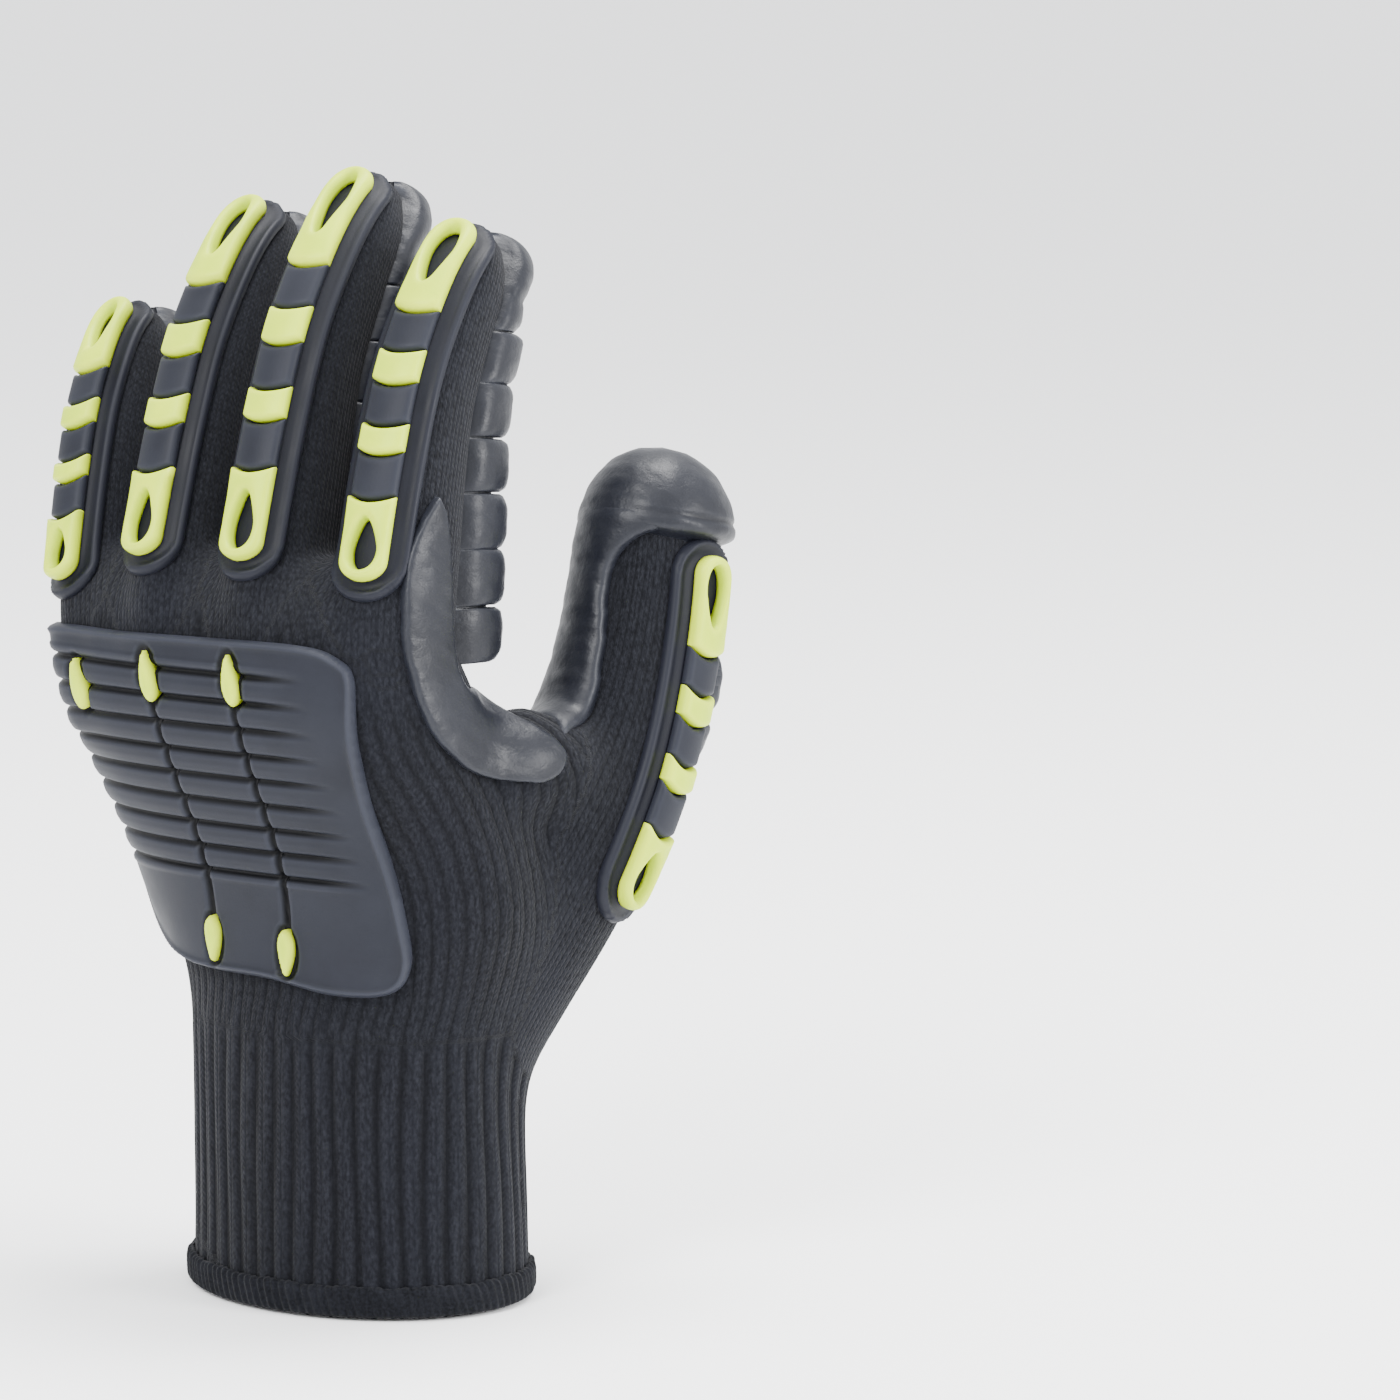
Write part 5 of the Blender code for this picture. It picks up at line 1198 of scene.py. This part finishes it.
# The palm pad is one casting of the same foam rubber: slanting plump bars in three
# staggered columns, and a plain band across the heel of the hand.
PALM_PAD_LOW, PALM_PAD_RISE = 1.6, 6.0
BAR_TILT, BAR_PITCH, BAR_GROOVE, BAR_START = 0.42, 11.2, 3.9, 0.512
BAR_COLUMNS = ((-0.98, -0.56), (-0.78, -0.33))    # grooves in even rows, and in odd rows
PALM_CELL, PALM_REACH, PALM_ROOT, PALM_RUMPLE = 0.75, 14.0, -1.8, 0.5
PALM_OUTLINE = (
    (0.825, -1.20), (0.835, -0.73), (0.863, -0.62), (0.863, -0.46), (0.827, -0.19),
    (0.714, -0.06), (0.620, 0.00), (0.540, -0.06), (0.475, -0.18), (0.415, -0.28),
    (0.435, -0.615), (0.488, -0.96), (0.565, -1.155), (0.685, -1.23),
)


def plump(*distances, width):
    """Height of a cushioned form near its edges, with its corners rounded off."""
    short = [1.0 - np.clip(d / width, 0.0, 1.0) for d in distances]
    gone = np.clip(np.sqrt(sum(s ** 2 for s in short)), 0.0, 1.0)
    return np.sqrt(np.clip(1.0 - gone ** 2, 0.0, 1.0))


sheet = cut_sheet(PALM_OUTLINE, HAND_HEIGHT, half_breadth, PALM_CELL)
run, across = sheet.places[:, 0], sheet.places[:, 1]
around_hand = -hand.half_girth(run) - across
base = hand.point(run, around_hand)
normals = hand.normal(run, around_hand)
points = seat_on(skin, base, normals, PALM_REACH)
step = (run - BAR_START * HAND_HEIGHT + BAR_TILT * (across + 0.58 * half_breadth)) / BAR_PITCH
to_groove = np.minimum(step % 1.0, 1.0 - step % 1.0) * BAR_PITCH
to_groove = np.where(step < -0.02, np.abs(step) * BAR_PITCH, to_groove)
even_row = np.floor(step).astype(int) % 2 == 0
to_column = np.where(step > 0, np.minimum.reduce([
    np.abs(across - half_breadth * np.where(even_row, even, odd))
    for even, odd in zip(*BAR_COLUMNS)]), 99.0)
lift = SEAT_GAP + PALM_PAD_LOW + PALM_PAD_RISE * plump(to_groove, to_column, sheet.depth,
                                                       width=BAR_GROOVE)
lift += rumple(points, PALM_RUMPLE) * np.clip(sheet.depth / 3.0, 0, 1)
palm_pad = make_piece("palm_bars", *sheet.solid(points, normals, lift, PALM_ROOT), foam)
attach(palm_pad, "root")
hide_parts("palm_pad")

# The fan of ribs over the ball of the thumb is cast in one piece of the same foam rubber
# and glued on. It opens round the hollow of the palm, so that the thumb can fold across.
FAN_RIBS, FAN_FIRST, FAN_LAST = 7, -108.0, 44.0
FAN_CENTRE = (111.0, -6.0)
FAN_OUTLINE = (              # height, and distance out across the fan's facing
    (143.0, 30.0), (137.0, 35.5), (124.0, 36.5), (111.0, 32.5), (98.0, 23.5), (87.0, 12.0),
    (79.0, 2.0), (74.5, -8.0), (76.0, -13.5), (84.0, -9.0), (92.0, -1.0), (101.0, 6.0),
    (111.0, 12.0), (122.0, 17.0), (133.0, 22.0), (141.0, 27.0),
)
FAN_TURN = math.radians(162.0)
FAN_FACING = np.array((math.sin(FAN_TURN), -math.cos(FAN_TURN), 0.0))
FAN_OUTWARD = np.array((-math.cos(FAN_TURN), -math.sin(FAN_TURN), 0.0))
PALM_BLEND, FAN_FAR = 8.0, 95.0
FAN_CELL, FAN_ROOT, FAN_EDGE, FAN_ROUND, FAN_RUMPLE = 0.7, -6.0, 0.4, 3.4, 0.4


def on_palm_face(places):
    """Seats seen square on, where the ball of the thumb swells out of the palm."""
    seats = np.empty((len(places), 3))
    for i, (height, out) in enumerate(places):
        start = Vector(FAN_OUTWARD * out + FAN_FACING * FAN_FAR) + Vector((0, 0, height))
        total = 0.0
        for tree in tube_trees.values():
            reach = tree.ray_cast(start, Vector(-FAN_FACING))[3]
            if reach is not None:
                total += math.exp((FAN_FAR - reach) / PALM_BLEND)
        seats[i] = (FAN_OUTWARD * out + FAN_FACING * PALM_BLEND * math.log(max(total, 1e-6))
                    + np.array((0.0, 0.0, height)))
    return seats, np.broadcast_to(FAN_FACING, seats.shape)


sheet = Sheet(smooth_outline(FAN_OUTLINE), FAN_CELL)
points, normals = on_palm_face(sheet.places)
rises = sheet.places - np.array(FAN_CENTRE)
turns = np.degrees(np.arctan2(rises[:, 0], rises[:, 1]))
turns = np.where(turns > 120.0, turns - 360.0, turns)
pitch = (FAN_LAST - FAN_FIRST) / FAN_RIBS
step = (turns - FAN_FIRST) / pitch
to_groove = (np.minimum(step % 1.0, 1.0 - step % 1.0) * math.radians(pitch)
             * np.linalg.norm(rises, axis=1))
lift = (SEAT_GAP + PALM_PAD_LOW + FAN_EDGE
        + PALM_PAD_RISE * plump(to_groove, sheet.depth, width=FAN_ROUND))
lift += rumple(points, FAN_RUMPLE) * np.clip(sheet.depth / 3.0, 0, 1)
fan = make_piece("thumb_ball_ribs", *sheet.solid(points, normals, lift, FAN_ROOT), foam)
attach(fan, "root")
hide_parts("thenar_pad")

# The pad on the palm side of the thumb's tip is one smooth cushion of foam rubber. It is
# cast in a mould and glued on below the cap.
THUMB_PAD_RISE, THUMB_PAD_EDGE, THUMB_PAD_ROUND = 9.0, 1.0, 9.0
THUMB_PAD_CELL, THUMB_PAD_ROOT, THUMB_PAD_RUMPLE, THUMB_PAD_REACH = 0.7, -1.8, 0.3, 6.0
ROOT_BELOW = 0.56            # share of the thumb's rise below which the web begins
THUMB_PAD_OUTLINE = (
    (0.570, 0.86), (0.552, 1.10), (0.562, 1.40), (0.600, 1.60), (0.680, 1.62), (0.722, 1.50),
    (0.750, 1.30), (0.756, 1.08), (0.742, 0.86), (0.700, 0.74), (0.630, 0.74),
)


def on_thumb(places, reach, low_reach=0.0):
    """Seats round the thumb; near its root they may lie further off, on the web."""
    run, across = places[:, 0], places[:, 1]
    points, normals = thumb.point(run, across), thumb.normal(run, across)
    near_root = run < ROOT_BELOW * THUMB_RISE
    seats = seat_on(skin, points, normals, reach)
    if low_reach > reach:
        seats[near_root] = seat_on(skin, points[near_root], normals[near_root], low_reach)
    return seats, normals


sheet = cut_sheet(THUMB_PAD_OUTLINE, THUMB_RISE, THUMB_WIDTH, THUMB_PAD_CELL)
points, normals = on_thumb(sheet.places, THUMB_PAD_REACH)
lift = (SEAT_GAP + THUMB_PAD_EDGE
        + (THUMB_PAD_RISE - THUMB_PAD_EDGE) * plump(sheet.depth, width=THUMB_PAD_ROUND))
lift += rumple(points, THUMB_PAD_RUMPLE) * np.clip(sheet.depth / 4.0, 0, 1)
points, faces = sheet.solid(points, normals, lift, THUMB_PAD_ROOT)
thumb_cushion = make_piece("thumb_cushion", points, faces, foam)
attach(thumb_cushion, "root")
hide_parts("thumb_pad")

# The leaf is a smooth patch of foam rubber. It is glued on beside the root of the index
# finger and runs down to where the thumb begins.
PATCH_THICKNESS, PATCH_EDGE, LEAF_ROUND = 1.8, 0.4, 3.2
LEAF_CELL, LEAF_ROOT, LEAF_RUMPLE = 0.75, -2.2, 0.20
LEAF_OUTLINE = (
    (1.113, -0.36), (1.095, -0.31), (1.060, -0.28), (0.935, -0.28), (0.858, -0.27),
    (0.846, -0.05), (0.800, 0.05), (0.752, 0.15), (0.712, 0.06), (0.706, -0.10),
    (0.732, -0.40), (0.800, -0.60), (0.915, -0.66), (1.018, -0.60), (1.080, -0.48),
)
LEAF_FACING = unit(np.array((0.93, -0.36, 0.0)))
LEAF_SPREAD = 5.0


def on_thumb_side(places):
    """Seats seen from the thumb side, evened out over the finger's root."""
    seats = np.empty((len(places), 3))
    for i, (height, forward) in enumerate(places):
        outs = []
        for up, along in ((0, 0), (1, 0), (-1, 0), (0, 1), (0, -1)):
            start = Vector((PALM_BREADTH, forward + along * LEAF_SPREAD, height + up * LEAF_SPREAD))
            hit = skin.ray_cast(start, Vector((-1, 0, 0)), PALM_BREADTH * 0.8)[0]
            if hit is not None:
                outs.append(hit.x)
        out = sum(outs) / len(outs) if outs else PALM_BREADTH * 0.36
        seats[i] = (max([out] + outs[:1]), forward, height)
    return seats, np.broadcast_to(LEAF_FACING, seats.shape)


sheet = cut_sheet(LEAF_OUTLINE, HAND_HEIGHT, PALM_DEPTH, LEAF_CELL)
points, normals = on_thumb_side(sheet.places)
points = sheet.settle(points)
lift = SEAT_GAP + PATCH_EDGE + PATCH_THICKNESS * rounded(sheet.depth, LEAF_ROUND)
lift += rumple(points, LEAF_RUMPLE) * np.clip(sheet.depth / 3.0, 0, 1)
leaf = make_piece("crotch_leaf", *sheet.solid(points, normals, lift, LEAF_ROOT), foam)
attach(leaf, "root")
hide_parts("crotch_patch")

# The band is a thick rolled strip of foam rubber. It is glued up the inner side of the
# thumb, from its root, where it meets the leaf, to the cap on the tip.
BAND_THICKNESS, BAND_ROUND, BAND_REACH, BAND_LOW_REACH = 3.0, 5.0, 7.0, 14.0
BAND_CELL, BAND_ROOT, BAND_RUMPLE = 0.75, -1.8, 0.20
THUMB_PATCH_OUTLINE = (
    (0.350, -1.02), (0.372, -0.78), (0.420, -0.62), (0.500, -0.55), (0.600, -0.58), (0.680, -0.62),
    (0.725, -0.45), (0.745, -0.10), (0.775, -0.10), (0.775, -1.20), (0.700, -1.38),
    (0.600, -1.40), (0.500, -1.42), (0.410, -1.36),
)
sheet = cut_sheet(THUMB_PATCH_OUTLINE, THUMB_RISE, THUMB_WIDTH, BAND_CELL)
points, normals = on_thumb(sheet.places, BAND_REACH, BAND_LOW_REACH)
points = sheet.settle(points)
lift = SEAT_GAP + PATCH_EDGE + BAND_THICKNESS * rounded(sheet.depth, BAND_ROUND)
lift += rumple(points, BAND_RUMPLE) * np.clip(sheet.depth / 4.0, 0, 1)
band = make_piece("thumb_band", *sheet.solid(points, normals, lift, BAND_ROOT), foam)
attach(band, "root")
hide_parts("thumb_patch")

# The cap is a round hood of foam rubber on the tip of the thumb, moulded in one with the
# band. Its lower edge turns in, with a shallow crease above it over the guard.
CAP_LOW, CAP_HIGH = 0.735, 189.6      # a share of the thumb's rise along it; a height
CAP_BREADTH, CAP_DEPTH, CAP_POWER, CAP_RUMPLE = 18.6, 18.2, 2.1, 0.20
CAP_SIDES, CAP_RINGS, CAP_FIRST, CAP_AIM = 128, 38, 0.12, 8.0
CAP_TURN_IN, CAP_TURN_HEIGHT = 0.24, 0.075
CREASE_DEPTH, CREASE_PLACE, CREASE_WIDTH, CREASE_TURN = 0.035, 0.26, 0.030, 0.35
low = CAP_LOW * THUMB_RISE
m, _ = thumb.row(low)
foot, side, back = thumb.centre[m], thumb.side[m], thumb.back[m]
ahead = unit(thumb.centre[thumb.row(low + CAP_AIM)[0]] - thumb.centre[m])
reach = (CAP_HIGH - foot[2]) / ahead[2]
sides = CAP_SIDES
turns = np.linspace(0, 2 * math.pi, sides, endpoint=False)
over_guard = np.clip(np.cos(turns - CREASE_TURN), 0, 1)
climbs = 1.0 - np.cos(np.linspace(CAP_FIRST, math.pi / 2, CAP_RINGS))
rings = []
for climb in np.concatenate([[0.0], climbs]):
    full = (1.0 - climb ** CAP_POWER) ** (1 / CAP_POWER) if climb < 1.0 else 0.0
    turned_in = 1.0 - CAP_TURN_IN * math.exp(-(climb / CAP_TURN_HEIGHT) ** 2)
    crease = CREASE_DEPTH * math.exp(-((climb - CREASE_PLACE) / CREASE_WIDTH) ** 2) * over_guard
    out = (full * turned_in - crease)[:, None]
    rings.append(foot + ahead * (reach * climb) + side * np.sin(turns)[:, None] * out * CAP_BREADTH
                 + back * np.cos(turns)[:, None] * out * CAP_DEPTH)
points = np.concatenate(rings[:-1] + [rings[-1].mean(0)[None], foot[None]])
count = len(rings) - 1
faces = ring_faces(count, sides)
faces += [((count - 1) * sides + i, (count - 1) * sides + (i + 1) % sides, count * sides)
          for i in range(sides)]
faces += [((i + 1) % sides, i, count * sides + 1) for i in range(sides)]
points = points + unit(points - foot) * rumple(points, CAP_RUMPLE)[:, None]
cap = make_piece("thumb_cap", points, faces, foam)
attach(cap, "root")
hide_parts("thumb_patch")
